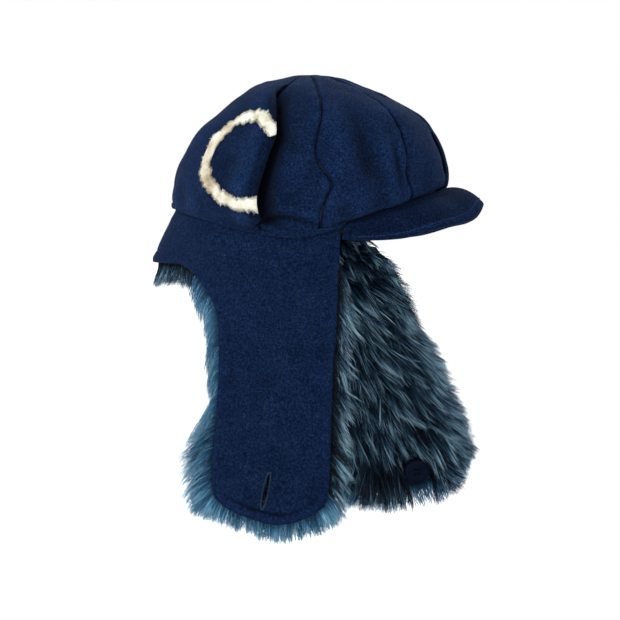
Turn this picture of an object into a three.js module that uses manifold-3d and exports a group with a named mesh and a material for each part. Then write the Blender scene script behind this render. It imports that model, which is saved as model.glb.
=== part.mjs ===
// Trapper hat: a soft eight-panel wool cap with a stiffened visor, a fur-lined
// neck curtain and two long fur-lined ear flaps, one with a buttonhole and one
// with a button. Millimetres, +Z up, +X is the front (visor), +Y the wearer's left.
// The origin is the middle of the head opening, level with the lowest point of
// the opening's edge.
import * as THREE from 'three';
import { mergeVertices } from 'three/addons/utils/BufferGeometryUtils.js';
import Module from 'manifold-3d';

const wasm = await Module();
wasm.setup();

// ---------------------------------------------------------------- dimensions
const GAP = 0.3;               // clearance between touching pieces
const OPENING_CX = 3;          // middle of the head opening along X
const OPENING_FRONT = 107;     // opening half length, centre to front
const OPENING_REAR = 111;      // opening half length, centre to rear
const OPENING_HALF_W = 87;     // opening half width
const EDGE_RISE_FRONT = 35;    // the opening's edge is higher at the front ...
const EDGE_RISE_REAR = 24.5;   // ... and at the nape than over the ears
const WOOL = 2.4;              // wool shell thickness
const LINING = 1.5;            // satin lining thickness
const SWEATBAND = 2.0;         // sweatband thickness
const SWEATBAND_TALL = 26;     // sweatband height
const BAND_LOW = -4.5;         // outer band, lower edge from the opening's edge
const BAND_HIGH = 3.2;         // outer band, upper edge
const CROWN_LIFT = 3.5;        // crown panels start this far above the edge
const APEX_R = 2.6;            // the panels' tips stop this far from the apex
const SEAMS_RIGHT = [0, 34, 80, 107, 180];   // crown seams on the right, degrees from the front
const SEAMS_LEFT = [0, 34, 80, 125, 180];    // crown seams on the left
const VISOR_END = 68;          // the visor's base ends here, degrees from the front
const VISOR_TOP = 1.6;         // visor top cover thickness
const VISOR_BOARD = 2.0;       // visor stiffener thickness
const VISOR_UNDER = 1.3;       // visor under cover thickness
const VISOR_CX = 38, VISOR_A = 108, VISOR_B = 81;  // visor edge: centre and half axes
const CURTAIN_SPLIT_X = -80;   // the neck curtain meets the ear flaps in this plane
const FLAP_Y = 86;             // half distance between the hanging flaps
const FUR_DEPTH = 15;          // pile depth of the lining fur
const SLOT_LEN = 29, SLOT_W = 6;               // buttonhole, open
const SLOT_X = -22.4, SLOT_Z = -201, SLOT_TILT = -11.7;  // buttonhole place and lean
const BUTTON_D = 22, BUTTON_T = 3.4;           // button
const BUTTON_X = 87, BUTTON_Z = -199;          // button place on the left flap
const RING_R_OUT = 41.5, RING_R_IN = 31.5;     // frayed ring applique
const RING_PHI = 119, RING_Z = 62;             // its centre on the right rear panel

// ---------------------------------------------------------------- helpers
const rad = (d) => (d * Math.PI) / 180;
const clamp = (x, a = 0, b = 1) => Math.min(b, Math.max(a, x));
const smooth = (x) => { const t = clamp(x); return t * t * (3 - 2 * t); };
const lerp = (a, b, t) => a + (b - a) * t;
function table(rows, x) {                      // piecewise linear lookup, rows sorted by key
  if (x <= rows[0][0]) return rows[0][1];
  for (let i = 1; i < rows.length; i++) {
    if (x <= rows[i][0]) {
      const [a, fa] = rows[i - 1], [b, fb] = rows[i];
      return lerp(fa, fb, (x - a) / (b - a));
    }
  }
  return rows[rows.length - 1][1];
}

// A closed solid between two grids of points, a(u, v) and b(u, v), with a rim.
function slab(nu, nv, a, b, us = null, vs = null) {
  const p = [], idx = [];
  const U = us ?? Array.from({ length: nu + 1 }, (_, i) => i / nu);
  const V = vs ?? Array.from({ length: nv + 1 }, (_, j) => j / nv);
  nu = U.length - 1; nv = V.length - 1;
  for (const f of [a, b]) for (const v of V) for (const u of U) p.push(...f(u, v));
  const n = (nu + 1) * (nv + 1);
  const at = (k, i, j) => k * n + j * (nu + 1) + i;
  const quad = (w, x, y, z) => idx.push(w, x, y, w, y, z);
  for (let j = 0; j < nv; j++) for (let i = 0; i < nu; i++) {
    quad(at(0, i, j), at(0, i + 1, j), at(0, i + 1, j + 1), at(0, i, j + 1));
    quad(at(1, i, j), at(1, i, j + 1), at(1, i + 1, j + 1), at(1, i + 1, j));
  }
  for (let i = 0; i < nu; i++) {
    quad(at(0, i, 0), at(1, i, 0), at(1, i + 1, 0), at(0, i + 1, 0));
    quad(at(0, i + 1, nv), at(1, i + 1, nv), at(1, i, nv), at(0, i, nv));
  }
  for (let j = 0; j < nv; j++) {
    quad(at(0, 0, j + 1), at(1, 0, j + 1), at(1, 0, j), at(0, 0, j));
    quad(at(0, nu, j), at(1, nu, j), at(1, nu, j + 1), at(0, nu, j + 1));
  }
  return outward(p, idx);
}

// A closed ring: a section polygon (list of functions of the angle) swept round.
function loop(n, section) {
  const m = section(0).length, p = [], idx = [];
  for (let i = 0; i < n; i++) for (const q of section(i / n)) p.push(...q);
  for (let i = 0; i < n; i++) for (let k = 0; k < m; k++) {
    const i2 = (i + 1) % n, k2 = (k + 1) % m;
    idx.push(i * m + k, i2 * m + k, i2 * m + k2, i * m + k, i2 * m + k2, i * m + k2);
  }
  return outward(p, idx);
}

function outward(p, idx) {
  let vol = 0;
  for (let t = 0; t < idx.length; t += 3) {
    const [a, b, c] = [idx[t] * 3, idx[t + 1] * 3, idx[t + 2] * 3];
    vol += p[a] * (p[b + 1] * p[c + 2] - p[b + 2] * p[c + 1])
      - p[a + 1] * (p[b] * p[c + 2] - p[b + 2] * p[c])
      + p[a + 2] * (p[b] * p[c + 1] - p[b + 1] * p[c]);
  }
  if (vol < 0) for (let t = 0; t < idx.length; t += 3) [idx[t + 1], idx[t + 2]] = [idx[t + 2], idx[t + 1]];
  const g = new THREE.BufferGeometry();
  g.setAttribute('position', new THREE.Float32BufferAttribute(p, 3));
  g.setIndex(idx);
  g.computeVertexNormals();
  return g;
}

function toManifold(geometry) {
  const g = geometry.clone();
  g.deleteAttribute('normal');
  g.deleteAttribute('uv');
  const m = mergeVertices(g, 1e-5);
  return new wasm.Manifold(new wasm.Mesh({
    numProp: 3,
    vertProperties: new Float32Array(m.attributes.position.array),
    triVerts: new Uint32Array(m.index.array),
  }));
}
function fromManifold(m) {
  const mesh = m.getMesh();
  const g = new THREE.BufferGeometry();
  g.setAttribute('position', new THREE.Float32BufferAttribute(mesh.vertProperties, 3));
  g.setIndex(Array.from(mesh.triVerts));
  g.computeVertexNormals();
  return g;
}
function cut(geometry, ...tools) {
  let m = toManifold(geometry);
  for (const t of tools) m = m.subtract(toManifold(t));
  return fromManifold(m);
}

// ---------------------------------------------------------------- the opening's edge
const armX = (c) => (c > 0 ? OPENING_FRONT : OPENING_REAR);
const edgeZ = (c) => (c > 0 ? EDGE_RISE_FRONT * Math.pow(c, 1.2) : EDGE_RISE_REAR * Math.pow(-c, 1.5));
function edge(phi, off = 0, dz = 0) {          // a point of the opening's edge, moved out by off
  const c = Math.cos(phi), s = Math.sin(phi);
  return [OPENING_CX + (armX(c) + off) * c, (OPENING_HALF_W + off) * s, edgeZ(c) + dz];
}

// ---------------------------------------------------------------- crown
const spline = (pts) => new THREE.SplineCurve(pts.map(([x, y]) => new THREE.Vector2(x, y)));
const CROWN_FRONT = spline([[107, 38.5], [112, 41.5], [113.6, 49], [112.5, 58], [108.5, 71], [103, 82], [93, 97], [77, 108], [58, 117.5], [33, 127], [14, 131.5], [0, 132]]);
const CROWN_REAR = spline([[111, 28], [112.5, 33], [110.5, 45], [108, 55], [104.5, 63], [98, 73], [87, 88], [76, 98], [64, 108], [51, 117.5], [36, 126], [14, 131.5], [0, 132]]);
const CROWN_SIDE = spline([[87, 3.5], [92.5, 8], [96, 20], [97.5, 38], [96.5, 57], [93, 74], [86, 90], [74, 105], [56, 118], [34, 127], [14, 131.5], [0, 132]]);
function crownAt(phi, t) {
  const c = Math.cos(phi), s = Math.sin(phi), tt = clamp(t);
  const f = (c > 0 ? CROWN_FRONT : CROWN_REAR).getPointAt(tt), g = CROWN_SIDE.getPointAt(tt);
  const low = edgeZ(c) + CROWN_LIFT;           // the lower edge follows the opening
  const z = f.y * c * c + g.y * s * s, z0 = (c > 0 ? 38.5 : 28) * c * c + 3.5 * s * s;
  return new THREE.Vector3(OPENING_CX + f.x * c, g.x * s, z + (low - z0) * (1 - smooth(tt / 0.3)));
}
function crownPoint(phi, t, off = 0) {
  const p = crownAt(phi, t);
  if (off === 0) return p.toArray();
  const e = 1e-3, t0 = Math.max(0.004, Math.min(t, 0.985));
  const du = crownAt(phi + e, t0).sub(crownAt(phi - e, t0));
  const dv = crownAt(phi, t0 + e).sub(crownAt(phi, t0 - e));
  const n = du.cross(dv).normalize();
  if (n.dot(crownAt(phi, t0).sub(new THREE.Vector3(OPENING_CX, 0, 40))) < 0) n.negate();
  return p.addScaledVector(n, off).toArray();
}
const planR = (phi, t) => { const p = crownAt(phi, t); return Math.hypot(p.x - OPENING_CX, p.y); };
function apexT(phi, r) {                       // where the surface comes within r of the apex axis
  let lo = 0.5, hi = 1;
  for (let k = 0; k < 40; k++) { const m = (lo + hi) / 2; if (planR(phi, m) > r) lo = m; else hi = m; }
  return lo;
}
const CROWN_T = [0, 0.06, 0.14, 0.25, 0.37, 0.5, 0.63, 0.76, 0.88, 1];
function gore(from, to, nu, offOut, offIn, apexR, t0 = 0, gap = GAP) {
  const at = (u, v, off) => {
    const mid = rad(lerp(from, to, u)), t = lerp(t0, apexT(mid, apexR), v);
    const half = (gap / 2 + 0.02) / Math.max(planR(mid, t), apexR);   // same gap all along the seam
    const way = Math.sign(to - from);
    return crownPoint(lerp(rad(from) + way * half, rad(to) - way * half, u), t, off);
  };
  return slab(nu, 9, (u, v) => at(u, v, offOut), (u, v) => at(u, v, offIn), null, CROWN_T);
}

// ---------------------------------------------------------------- visor
const visorEdgeZ = (a) => 28 * Math.exp(-((a / 27) ** 2)) - a / 90;   // arched at the front, level at the sides
function visorAt(th, v) {                      // th: -90..90 degrees round the edge, v: base to edge
  const a = Math.abs(th), s = Math.sin(rad(th)), c = Math.cos(rad(th));
  const phi = rad((th / 90) * VISOR_END);
  const base = edge(phi, -2.6, CROWN_LIFT - 1.5);
  const rim = [VISOR_CX + VISOR_A * Math.pow(c, 0.92), VISOR_B * s, visorEdgeZ(a)];
  const h = 4 * v * (1 - v), lift = lerp(7.5, 1.5, smooth(a / 90)), out = lerp(0, 4.5, smooth(a / 80));
  return new THREE.Vector3(
    lerp(base[0], rim[0], v) + h * out * c * 0.6,
    lerp(base[1], rim[1], v) + h * out * s,
    lerp(base[2], rim[2], v) + h * lift);
}
function visorPoint(th, v, off) {
  const e = 0.5, f = 0.01, t = clamp(th, -88, 88), w = clamp(v, 0.02, 0.98);
  const n = visorAt(t + e, w).sub(visorAt(t - e, w)).cross(visorAt(t, w + f).sub(visorAt(t, w - f))).normalize();
  if (n.z < 0) n.negate();
  if (Math.abs(th) > 60 && n.y * th < 0) n.negate();
  return visorAt(th, v).addScaledVector(n, off).toArray();
}
const visorLayer = (span, v0, v1, top, thick) => slab(14, 4,
  (u, v) => visorPoint(lerp(-span, span, u), lerp(v0, v1, v), top),
  (u, v) => visorPoint(lerp(-span, span, u), lerp(v0, v1, v), top - thick));

// ---------------------------------------------------------------- neck curtain and flaps
// side: -1 right, +1 left. The curtain hangs from just under the outer band.
const curtainTop = (c) => edgeZ(c) + BAND_LOW - GAP;
const FLARE_X = 0.25, FLARE_Y = 0.16;
function curtainY(x, z) {                      // half width of the hanging curtain near the opening
  const zt = curtainTop((x - OPENING_CX) / armX(x - OPENING_CX)), dz = Math.max(0, zt - z);
  const g = FLARE_Y * smooth((-x - 20) / 60);
  const c = (x - OPENING_CX) / (armX(x - OPENING_CX) + (x < 0 ? FLARE_X * dz * smooth((-x - 20) / 60) : 0));
  return (OPENING_HALF_W + g * dz) * Math.sqrt(Math.max(0.02, 1 - c * c));
}
// Outlines in the X-Z plane: top, rear, bottom and front edge.
const topZ = (x) => curtainTop((x - OPENING_CX) / armX(x - OPENING_CX));
const topRow = (x0, x1, drop, n = 12) => Array.from({ length: n + 1 }, (_, i) => {
  const x = lerp(x0, x1, i / n); return [x, topZ(x) - drop];
});
const R_REAR = [[-79.8, topZ(-79.8) - 0.9], [-79.8, -31.5], [-74.7, -36.5], [-68.7, -44.5], [-63.5, -54.5], [-61, -66], [-60.3, -110], [-62.5, -140], [-66.5, -175], [-67, -195], [-64, -207]];
const R_BOTTOM = [[-64, -207], [-56, -214], [-46, -219], [-31, -224.5], [-13, -229], [3, -226.5], [16, -220], [23, -213]];
const R_FRONT = [[37, topZ(37) - 0.9], [34.5, -46], [33, -70], [30.7, -116], [28.5, -175], [27.5, -195], [26, -206], [23, -213]];
const R_TOP = topRow(-79.8, 37, 0.9);
const LEFT_SWING = 25.7;                       // the left flap hangs swung forward
const swing = ([x, z]) => {
  const c = Math.cos(rad(LEFT_SWING)), s = Math.sin(rad(LEFT_SWING)), dx = x + 11.5, dz = z + 5;
  return [3.5 + c * dx - s * dz, -8 + s * dx + c * dz];
};
const L_TOP = [...topRow(-79.8, 30, 0.9, 10), [36, -4], [40.5, -9.5], [52, -10.5]];
const L_REAR = [[-79.8, topZ(-79.8) - 0.9], [-79.8, -31.5], [-73, -38], [-60, -49], [-44, -61], [-28, -73.5], ...[[-61, -66], [-60.3, -110], [-62.5, -140], [-66.5, -175], [-67, -195], [-64, -207]].map(swing)];
const L_BOTTOM = R_BOTTOM.map(swing);
const L_FRONT = [[52, -10.5], ...R_FRONT.slice(1).map(swing)];
// Fur outlines: the pile stands out past the wool's edge.
const RF_TOP = topRow(-79.2, 36, 7);
const RF_REAR = [RF_TOP[0], [-79.2, -43], [-76, -54], [-72, -62], [-69.5, -80], [-68.5, -99], [-72, -119], [-72, -128], [-77, -142], [-82, -151.5], [-86, -169], [-86.5, -187], [-83, -199], [-76, -211]];
const RF_BOTTOM = [[-76, -211], [-66, -220], [-50, -228], [-22, -235], [-3, -239], [12.5, -234], [26, -225], [34, -216]];
const RF_FRONT = [RF_TOP[RF_TOP.length - 1], [42, -30], [44.5, -50], [44.5, -120], [44.5, -180], [42, -200], [34, -216]];
const LF_TOP = [...topRow(-79.2, 30, 7, 10), [36, -11.5], [42, -14.5], [51, -15]];
const LF_REAR = [LF_TOP[0], [-79.2, -43], [-74, -54], [-58, -63], [-42, -74], [-26, -87], [-18, -98], [-6, -125], [6, -150], [16, -175], [22, -195], [30, -214]];
const LF_BOTTOM = [[30, -214], [36, -219.5], [60, -222], [90, -220.5], [110, -216], [122, -209], [133, -194]];
const LF_FRONT = [[51, -15], [60, -22], [76, -42], [89, -63], [96.5, -84], [103, -104], [109.5, -124], [121, -145], [130, -160], [134.5, -180], [133, -194]];

function polyline(pts) {                       // arc-length parametrised
  const len = [0];
  for (let i = 1; i < pts.length; i++) len.push(len[i - 1] + Math.hypot(pts[i][0] - pts[i - 1][0], pts[i][1] - pts[i - 1][1]));
  const total = len[len.length - 1];
  return (t) => {
    const d = clamp(t) * total;
    let i = 1;
    while (i < len.length - 1 && len[i] < d) i++;
    const k = (d - len[i - 1]) / (len[i] - len[i - 1]);
    return [lerp(pts[i - 1][0], pts[i][0], k), lerp(pts[i - 1][1], pts[i][1], k)];
  };
}
function coons(top, rear, bottom, front) {     // a patch between four edges; u rear to front, v down
  const T = polyline(top), R = polyline(rear), B = polyline(bottom), F = polyline(front);
  const p00 = T(0), p10 = T(1), p01 = B(0), p11 = B(1);
  return (u, v) => [0, 1].map((k) =>
    (1 - v) * T(u)[k] + v * B(u)[k] + (1 - u) * R(v)[k] + u * F(v)[k]
    - ((1 - u) * (1 - v) * p00[k] + u * (1 - v) * p10[k] + (1 - u) * v * p01[k] + u * v * p11[k]));
}
const middleX = (side, z) => (side < 0 ? -11.5 + 0.038 * (z + 5) : 3.5 - 0.435 * Math.min(0, z + 8));
const flapHalf = (side, x, z) => {             // half distance of the flap's outer face
  const w = Math.min(1.3, Math.abs(x - middleX(side, z)) / 48);
  const low = FLAP_Y - 4.5 * w * w, k = smooth((-z - 4) / 80);
  return lerp(curtainY(x, z), low, k);
};
function flapShell(side, patch, us, vs) {
  const at = (u, v, inset) => { const [x, z] = patch(u, v); return [x, side * (flapHalf(side, x, z) - inset), z]; };
  return slab(0, 0, (u, v) => at(u, v, 0), (u, v) => at(u, v, WOOL), us, vs);
}
function flapFur(side, patch, us, vs) {
  const at = (u, v, inset) => { const [x, z] = patch(u, v); return [x, side * (flapHalf(side, x, z) - inset), z]; };
  const depth = (u, v) => lerp(6, FUR_DEPTH, smooth(Math.min(u, 1 - u) / 0.16) * smooth(Math.min(v / 0.08, (1 - v) / 0.12)));
  return slab(0, 0, (u, v) => at(u, v, WOOL + 1.2), (u, v) => at(u, v, WOOL + 1.2 + depth(u, v)), us, vs);
}
const FLAP_U = [0, 0.12, 0.26, 0.4, 0.54, 0.68, 0.84, 1];
const FLAP_V = [0, 0.07, 0.135, 0.17, 0.205, 0.25, 0.31, 0.4, 0.5, 0.6, 0.7, 0.8, 0.9, 1];
const FUR_U = [0, 0.14, 0.32, 0.5, 0.68, 0.86, 1];
const FUR_V = [0, 0.08, 0.17, 0.25, 0.35, 0.47, 0.6, 0.73, 0.87, 1];

function neckAt(side, u, v, inset, drop, hang) { // u: split plane to centre back, v: down
  const f = lerp(FLARE_X, 0.36, smooth(u * 1.4)), g = lerp(FLARE_Y, 0.2, u);
  const bottom = table([[0, -31.5], [0.06, -28.5], [0.12, -25], [0.27, -20.8], [1, -19.3]], u) - hang(u);
  let dz = 0, x = 0, y = 0, z = 0;
  for (let k = 0; k < 6; k++) {                // the top edge's height depends on the angle
    const c0 = (CURTAIN_SPLIT_X - 0.2 - OPENING_CX) / (OPENING_REAR + f * dz - inset);
    const phi = lerp(Math.acos(c0), Math.PI, u), c = Math.cos(phi), s = Math.sin(phi);
    const zt = curtainTop(Math.max(-1, (OPENING_REAR + f * dz) * c / (OPENING_REAR + f * dz))) - drop;
    dz = (zt + drop - (lerp(zt, bottom, v)));
    z = lerp(zt, bottom, v);
    const seam = u === 1 ? GAP / 2 : 0;
    x = OPENING_CX + (OPENING_REAR + f * dz - inset) * c;
    y = Math.max(seam, (OPENING_HALF_W + g * dz - inset) * s);
    if (u === 0) x = CURTAIN_SPLIT_X - 0.2;
  }
  return [x, side * y, z];
}
const NECK_U = [0, 0.06, 0.12, 0.27, 0.45, 0.63, 0.82, 1];
const neckShell = (side) => slab(0, 0, (u, v) => neckAt(side, u, v, 0, 0, () => 0), (u, v) => neckAt(side, u, v, WOOL, 0, () => 0), NECK_U, [0, 0.33, 0.67, 1]);
const neckFur = (side) => slab(0, 0,
  (u, v) => neckAt(side, u, v, WOOL + 1.3, 7, (w) => lerp(11.5, 20, smooth(w / 0.3))),
  (u, v) => neckAt(side, u, v, WOOL + 1.3 + lerp(5, 12, smooth(v / 0.3) * smooth((1 - v) / 0.35)), 7, (w) => lerp(11.5, 20, smooth(w / 0.3))),
  [0, 0.12, 0.27, 0.5, 0.75, 1], [0, 0.3, 0.65, 1]);

// ---------------------------------------------------------------- the buttonhole's cutter and edging
function slotOutline(half, w, n = 6) {         // a slot with round ends, standing in the X-Z plane
  const pts = [];
  for (const end of [1, -1]) for (let i = 0; i <= n; i++) {
    const a = rad(end > 0 ? 180 * (i / n) : 180 + 180 * (i / n));
    pts.push([Math.cos(a) * w, end * half + Math.sin(a) * w]);
  }
  return pts;
}
function slotPlace([x, z]) {
  const a = rad(SLOT_TILT), c = Math.cos(a), s = Math.sin(a);
  return [SLOT_X + x * c + z * -s, SLOT_Z + x * s + z * c];
}
function slotCutter(len, w) {
  const shape = new THREE.Shape(slotOutline(len / 2 - w / 2, w / 2).map((q) => new THREE.Vector2(...slotPlace(q))));
  const g = new THREE.ExtrudeGeometry(shape, { depth: 60, bevelEnabled: false });
  g.rotateX(Math.PI / 2);                      // the outline's plane becomes X-Z, the depth runs along -Y
  g.translate(0, -50, 0);
  return g;
}
const slotFaceY = -(FLAP_Y - 0.2);             // the flap's outer face at the buttonhole

// ---------------------------------------------------------------- nodes
const hat = new THREE.Group();
const wool = (hex = 0x13223e) => new THREE.MeshStandardMaterial({ color: hex, roughness: 0.95, metalness: 0 });
const fur = () => new THREE.MeshStandardMaterial({ color: 0x44687f, roughness: 0.9, metalness: 0 });
const satin = () => new THREE.MeshStandardMaterial({ color: 0x141d30, roughness: 0.55, metalness: 0 });
function add(name, geometry, material) {
  const mesh = new THREE.Mesh(geometry, material);
  mesh.name = name;
  hat.add(mesh);
  return mesh;
}

// crown panels, right side (-Y) and left side (+Y)
const names = ['front', 'side_front', 'side_rear', 'rear'];
for (const [sideName, sign, seams] of [['right', -1, SEAMS_RIGHT], ['left', 1, SEAMS_LEFT]]) {
  for (let i = 0; i < 4; i++) {
    const a = sign * seams[i], b = sign * seams[i + 1];
    add(`crown_${names[i]}_${sideName}`, gore(a, b, i === 3 && sign < 0 ? 5 : 4, 0, -WOOL, APEX_R), wool());
  }
}
// crown lining, four gores
for (const [n, a, b] of [['front_right', 0, -90], ['rear_right', -90, -180], ['front_left', 0, 90], ['rear_left', 90, 180]]) {
  add(`lining_${n}`, gore(a, b, 6, -WOOL - 2.2, -WOOL - 2.2 - LINING, 3.6, 0.03, 1.2), satin());
}
// sweatband and outer band
const SWEAT_OFF = -8.8;
add('sweatband', loop(44, (k) => {
  const phi = 2 * Math.PI * k;
  return [edge(phi, SWEAT_OFF, -3.2), edge(phi, SWEAT_OFF, SWEATBAND_TALL - 3.2), edge(phi, SWEAT_OFF - SWEATBAND, SWEATBAND_TALL - 3.2), edge(phi, SWEAT_OFF - SWEATBAND, -3.2)];
}), satin());
{
  const a0 = rad(VISOR_END + 3.2), a1 = 2 * Math.PI - a0;
  add('outer_band', slab(40, 2,
    (u, v) => edge(lerp(a0, a1, u), 0.2 + 1.2 * Math.sin(Math.PI * v), lerp(BAND_LOW, BAND_HIGH, v)),
    (u, v) => edge(lerp(a0, a1, u), -2.4, lerp(BAND_LOW, BAND_HIGH, v))), wool(0x182440));
}
// visor
add('visor_top_cover', visorLayer(90, 0, 1, 0, VISOR_TOP), wool(0x121f3a));
add('visor_board', visorLayer(85, 0.03, 0.965, -VISOR_TOP - 1.1, VISOR_BOARD), new THREE.MeshStandardMaterial({ color: 0x22252b, roughness: 0.6, metalness: 0 }));
add('visor_under_cover', visorLayer(87, 0.02, 0.985, -VISOR_TOP - VISOR_BOARD - 1.9, VISOR_UNDER), wool(0x0e1729));

// ring applique on the right rear panel; its front end runs into the deep pleat there
{
  let tc = 0.3;
  for (let k = 0, lo = 0.02, hi = 0.95; k < 40; k++) { tc = (lo + hi) / 2; if (crownAt(rad(-RING_PHI), tc).z < RING_Z) lo = tc; else hi = tc; }
  const arm = crownAt(rad(-RING_PHI), tc);
  const across = Math.hypot(arm.x - OPENING_CX, arm.y);
  const up = crownAt(rad(-RING_PHI), tc + 0.05).distanceTo(crownAt(rad(-RING_PHI), tc - 0.05)) / 0.1;
  const at = (psi, r, off) => {
    const phi = -rad(RING_PHI) - (r * Math.cos(psi)) / across, t = tc + (r * Math.sin(psi)) / up;
    return crownPoint(phi, t, off);
  };
  const reach = Math.acos(-(rad(RING_PHI - SEAMS_RIGHT[3] - 0.6) * across) / RING_R_OUT);  // stops short of the pleat
  add('ring_applique', slab(30, 1,
    (u, v) => at(lerp(-reach, reach, u), lerp(RING_R_IN, RING_R_OUT, v), 1.5),
    (u, v) => at(lerp(-reach, reach, u), lerp(RING_R_IN, RING_R_OUT, v), 0.35)),
  new THREE.MeshStandardMaterial({ color: 0xe3e7dd, roughness: 0.95, metalness: 0 }));
}

// neck curtain
add('neck_shell_right', neckShell(-1), wool());
add('neck_shell_left', neckShell(1), wool());
add('neck_fur_right', neckFur(-1), fur());
add('neck_fur_left', neckFur(1), fur());

// flaps
const rightPatch = coons(R_TOP, R_REAR, R_BOTTOM, R_FRONT), leftPatch = coons(L_TOP, L_REAR, L_BOTTOM, L_FRONT);
const rightFurPatch = coons(RF_TOP, RF_REAR, RF_BOTTOM, RF_FRONT), leftFurPatch = coons(LF_TOP, LF_REAR, LF_BOTTOM, LF_FRONT);
add('right_flap_shell', cut(flapShell(-1, rightPatch, FLAP_U, FLAP_V), slotCutter(SLOT_LEN, SLOT_W)), wool());
add('right_flap_fur', cut(flapFur(-1, rightFurPatch, FUR_U, FUR_V), slotCutter(SLOT_LEN + 5, SLOT_W + 5)), fur());
add('left_flap_shell', flapShell(1, leftPatch, FLAP_U, FLAP_V), wool());
{
  const hole = new THREE.CylinderGeometry(BUTTON_D / 2 + 2.6, BUTTON_D / 2 + 2.6, 60, 20);
  hole.translate(BUTTON_X, FLAP_Y - 20, BUTTON_Z);
  add('left_flap_fur', cut(flapFur(1, leftFurPatch, FUR_U, FUR_V), hole), fur());
}
// buttonhole stitching: a raised edging on the flap's outer face
{
  const n = 28, ringAt = (k, grow, y) => {
    const half = SLOT_LEN / 2 - SLOT_W / 2, pts = slotOutline(half, SLOT_W / 2 + grow, 13);
    const q = slotPlace(pts[k % pts.length]);
    return [q[0], y, q[1]];
  };
  const face = (k, grow) => { const q = ringAt(k, grow, 0); return slotFaceY; };
  add('buttonhole_stitching', loop(n, (f) => {
    const k = Math.round(f * n);
    return [ringAt(k, 0.15, slotFaceY - 0.6), ringAt(k, 2.2, slotFaceY - 0.6), ringAt(k, 2.2, slotFaceY - 1.5), ringAt(k, 0.15, slotFaceY - 1.5)];
  }), new THREE.MeshStandardMaterial({ color: 0x2a4060, roughness: 0.8, metalness: 0 }));
}
// button on its thread shank, on the left flap's fur side
{
  const disc = [[0, 0], [BUTTON_D / 2 - 1, 0], [BUTTON_D / 2, 1], [BUTTON_D / 2, BUTTON_T - 0.8], [BUTTON_D / 2 - 0.8, BUTTON_T], [BUTTON_D / 2 - 2.2, BUTTON_T], [BUTTON_D / 2 - 3, BUTTON_T - 0.8], [0, BUTTON_T - 0.8]];
  const g = new THREE.LatheGeometry(disc.map(([x, y]) => new THREE.Vector2(x, y)), 28);
  const holes = [[1.9, 1.9], [1.9, -1.9], [-1.9, 1.9], [-1.9, -1.9]].map(([x, z]) => {
    const h = new THREE.CylinderGeometry(0.9, 0.9, 12, 8); h.translate(x, 1, z); return h;
  });
  const button = cut(g, ...holes);
  const faceY = FLAP_Y - WOOL - 0.5;           // the wool's inner face behind the button
  const m = add('button', button, new THREE.MeshStandardMaterial({ color: 0x0a162a, roughness: 0.7, metalness: 0 }));
  m.rotation.x = Math.PI;                      // the button's face looks to the hat's inside (-Y)
  m.position.set(BUTTON_X, faceY - 8.6, BUTTON_Z);
  const shank = new THREE.CylinderGeometry(1.8, 2.4, 6.6, 10);   // room for the button to tilt on it
  shank.rotateX(Math.PI);
  shank.translate(BUTTON_X, faceY - 3.9, BUTTON_Z);
  add('button_shank', shank, new THREE.MeshStandardMaterial({ color: 0x14213a, roughness: 0.85, metalness: 0 }));
}

export default hat;
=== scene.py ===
# Trapper hat: looks. Metres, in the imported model's frame: +X front, +Y the wearer's left, +Z up.
import math
import bpy
import numpy as np
from mathutils import Matrix, Vector


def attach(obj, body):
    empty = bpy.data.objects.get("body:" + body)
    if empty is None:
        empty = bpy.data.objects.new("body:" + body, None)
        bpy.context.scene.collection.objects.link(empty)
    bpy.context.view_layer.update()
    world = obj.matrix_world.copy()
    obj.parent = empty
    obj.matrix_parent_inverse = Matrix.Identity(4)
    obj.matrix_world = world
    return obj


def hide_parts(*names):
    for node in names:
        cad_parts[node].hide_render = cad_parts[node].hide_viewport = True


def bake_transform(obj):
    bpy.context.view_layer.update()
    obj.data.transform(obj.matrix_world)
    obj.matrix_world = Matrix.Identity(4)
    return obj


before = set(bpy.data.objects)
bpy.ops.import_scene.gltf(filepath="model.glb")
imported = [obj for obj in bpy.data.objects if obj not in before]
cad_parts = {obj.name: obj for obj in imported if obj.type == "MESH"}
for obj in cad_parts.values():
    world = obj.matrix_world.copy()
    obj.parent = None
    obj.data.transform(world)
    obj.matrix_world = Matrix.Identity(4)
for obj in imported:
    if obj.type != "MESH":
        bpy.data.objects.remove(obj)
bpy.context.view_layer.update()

MM = 0.001

# ------------------------------------------------------------------ small maths
def smooth(x, a=0.0, b=1.0):
    t = np.clip((np.asarray(x, float) - a) / (b - a), 0, 1)
    return t * t * (3 - 2 * t)

def lerp(a, b, t):
    return a + (b - a) * t

def bump(x, w):
    return np.exp(-(np.asarray(x, float) / w) ** 2)

_tables = {}
def noise(p, scale, seed=0):
    """Smooth value noise, about -1..1; p is (..., 3) in mm, scale the wavelength in mm."""
    if seed not in _tables:
        _tables[seed] = np.random.default_rng(1000 + seed).uniform(-1, 1, 4096)
    tab = _tables[seed]
    q = np.asarray(p, float) / scale + 1000.0
    i = np.floor(q).astype(np.int64)
    f = q - i
    f = f * f * f * (f * (f * 6 - 15) + 10)
    out = 0
    for dx in (0, 1):
        for dy in (0, 1):
            for dz in (0, 1):
                h = ((i[..., 0] + dx) * 73856093 ^ (i[..., 1] + dy) * 19349663 ^ (i[..., 2] + dz) * 83492791) & 4095
                w = (f[..., 0] if dx else 1 - f[..., 0]) * (f[..., 1] if dy else 1 - f[..., 1]) * (f[..., 2] if dz else 1 - f[..., 2])
                out = out + tab[h] * w
    return out

def fbm(p, scale, seed=0, octaves=3):
    return sum(noise(p, scale / 2 ** k, seed + k) * 0.5 ** k for k in range(octaves))

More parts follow.
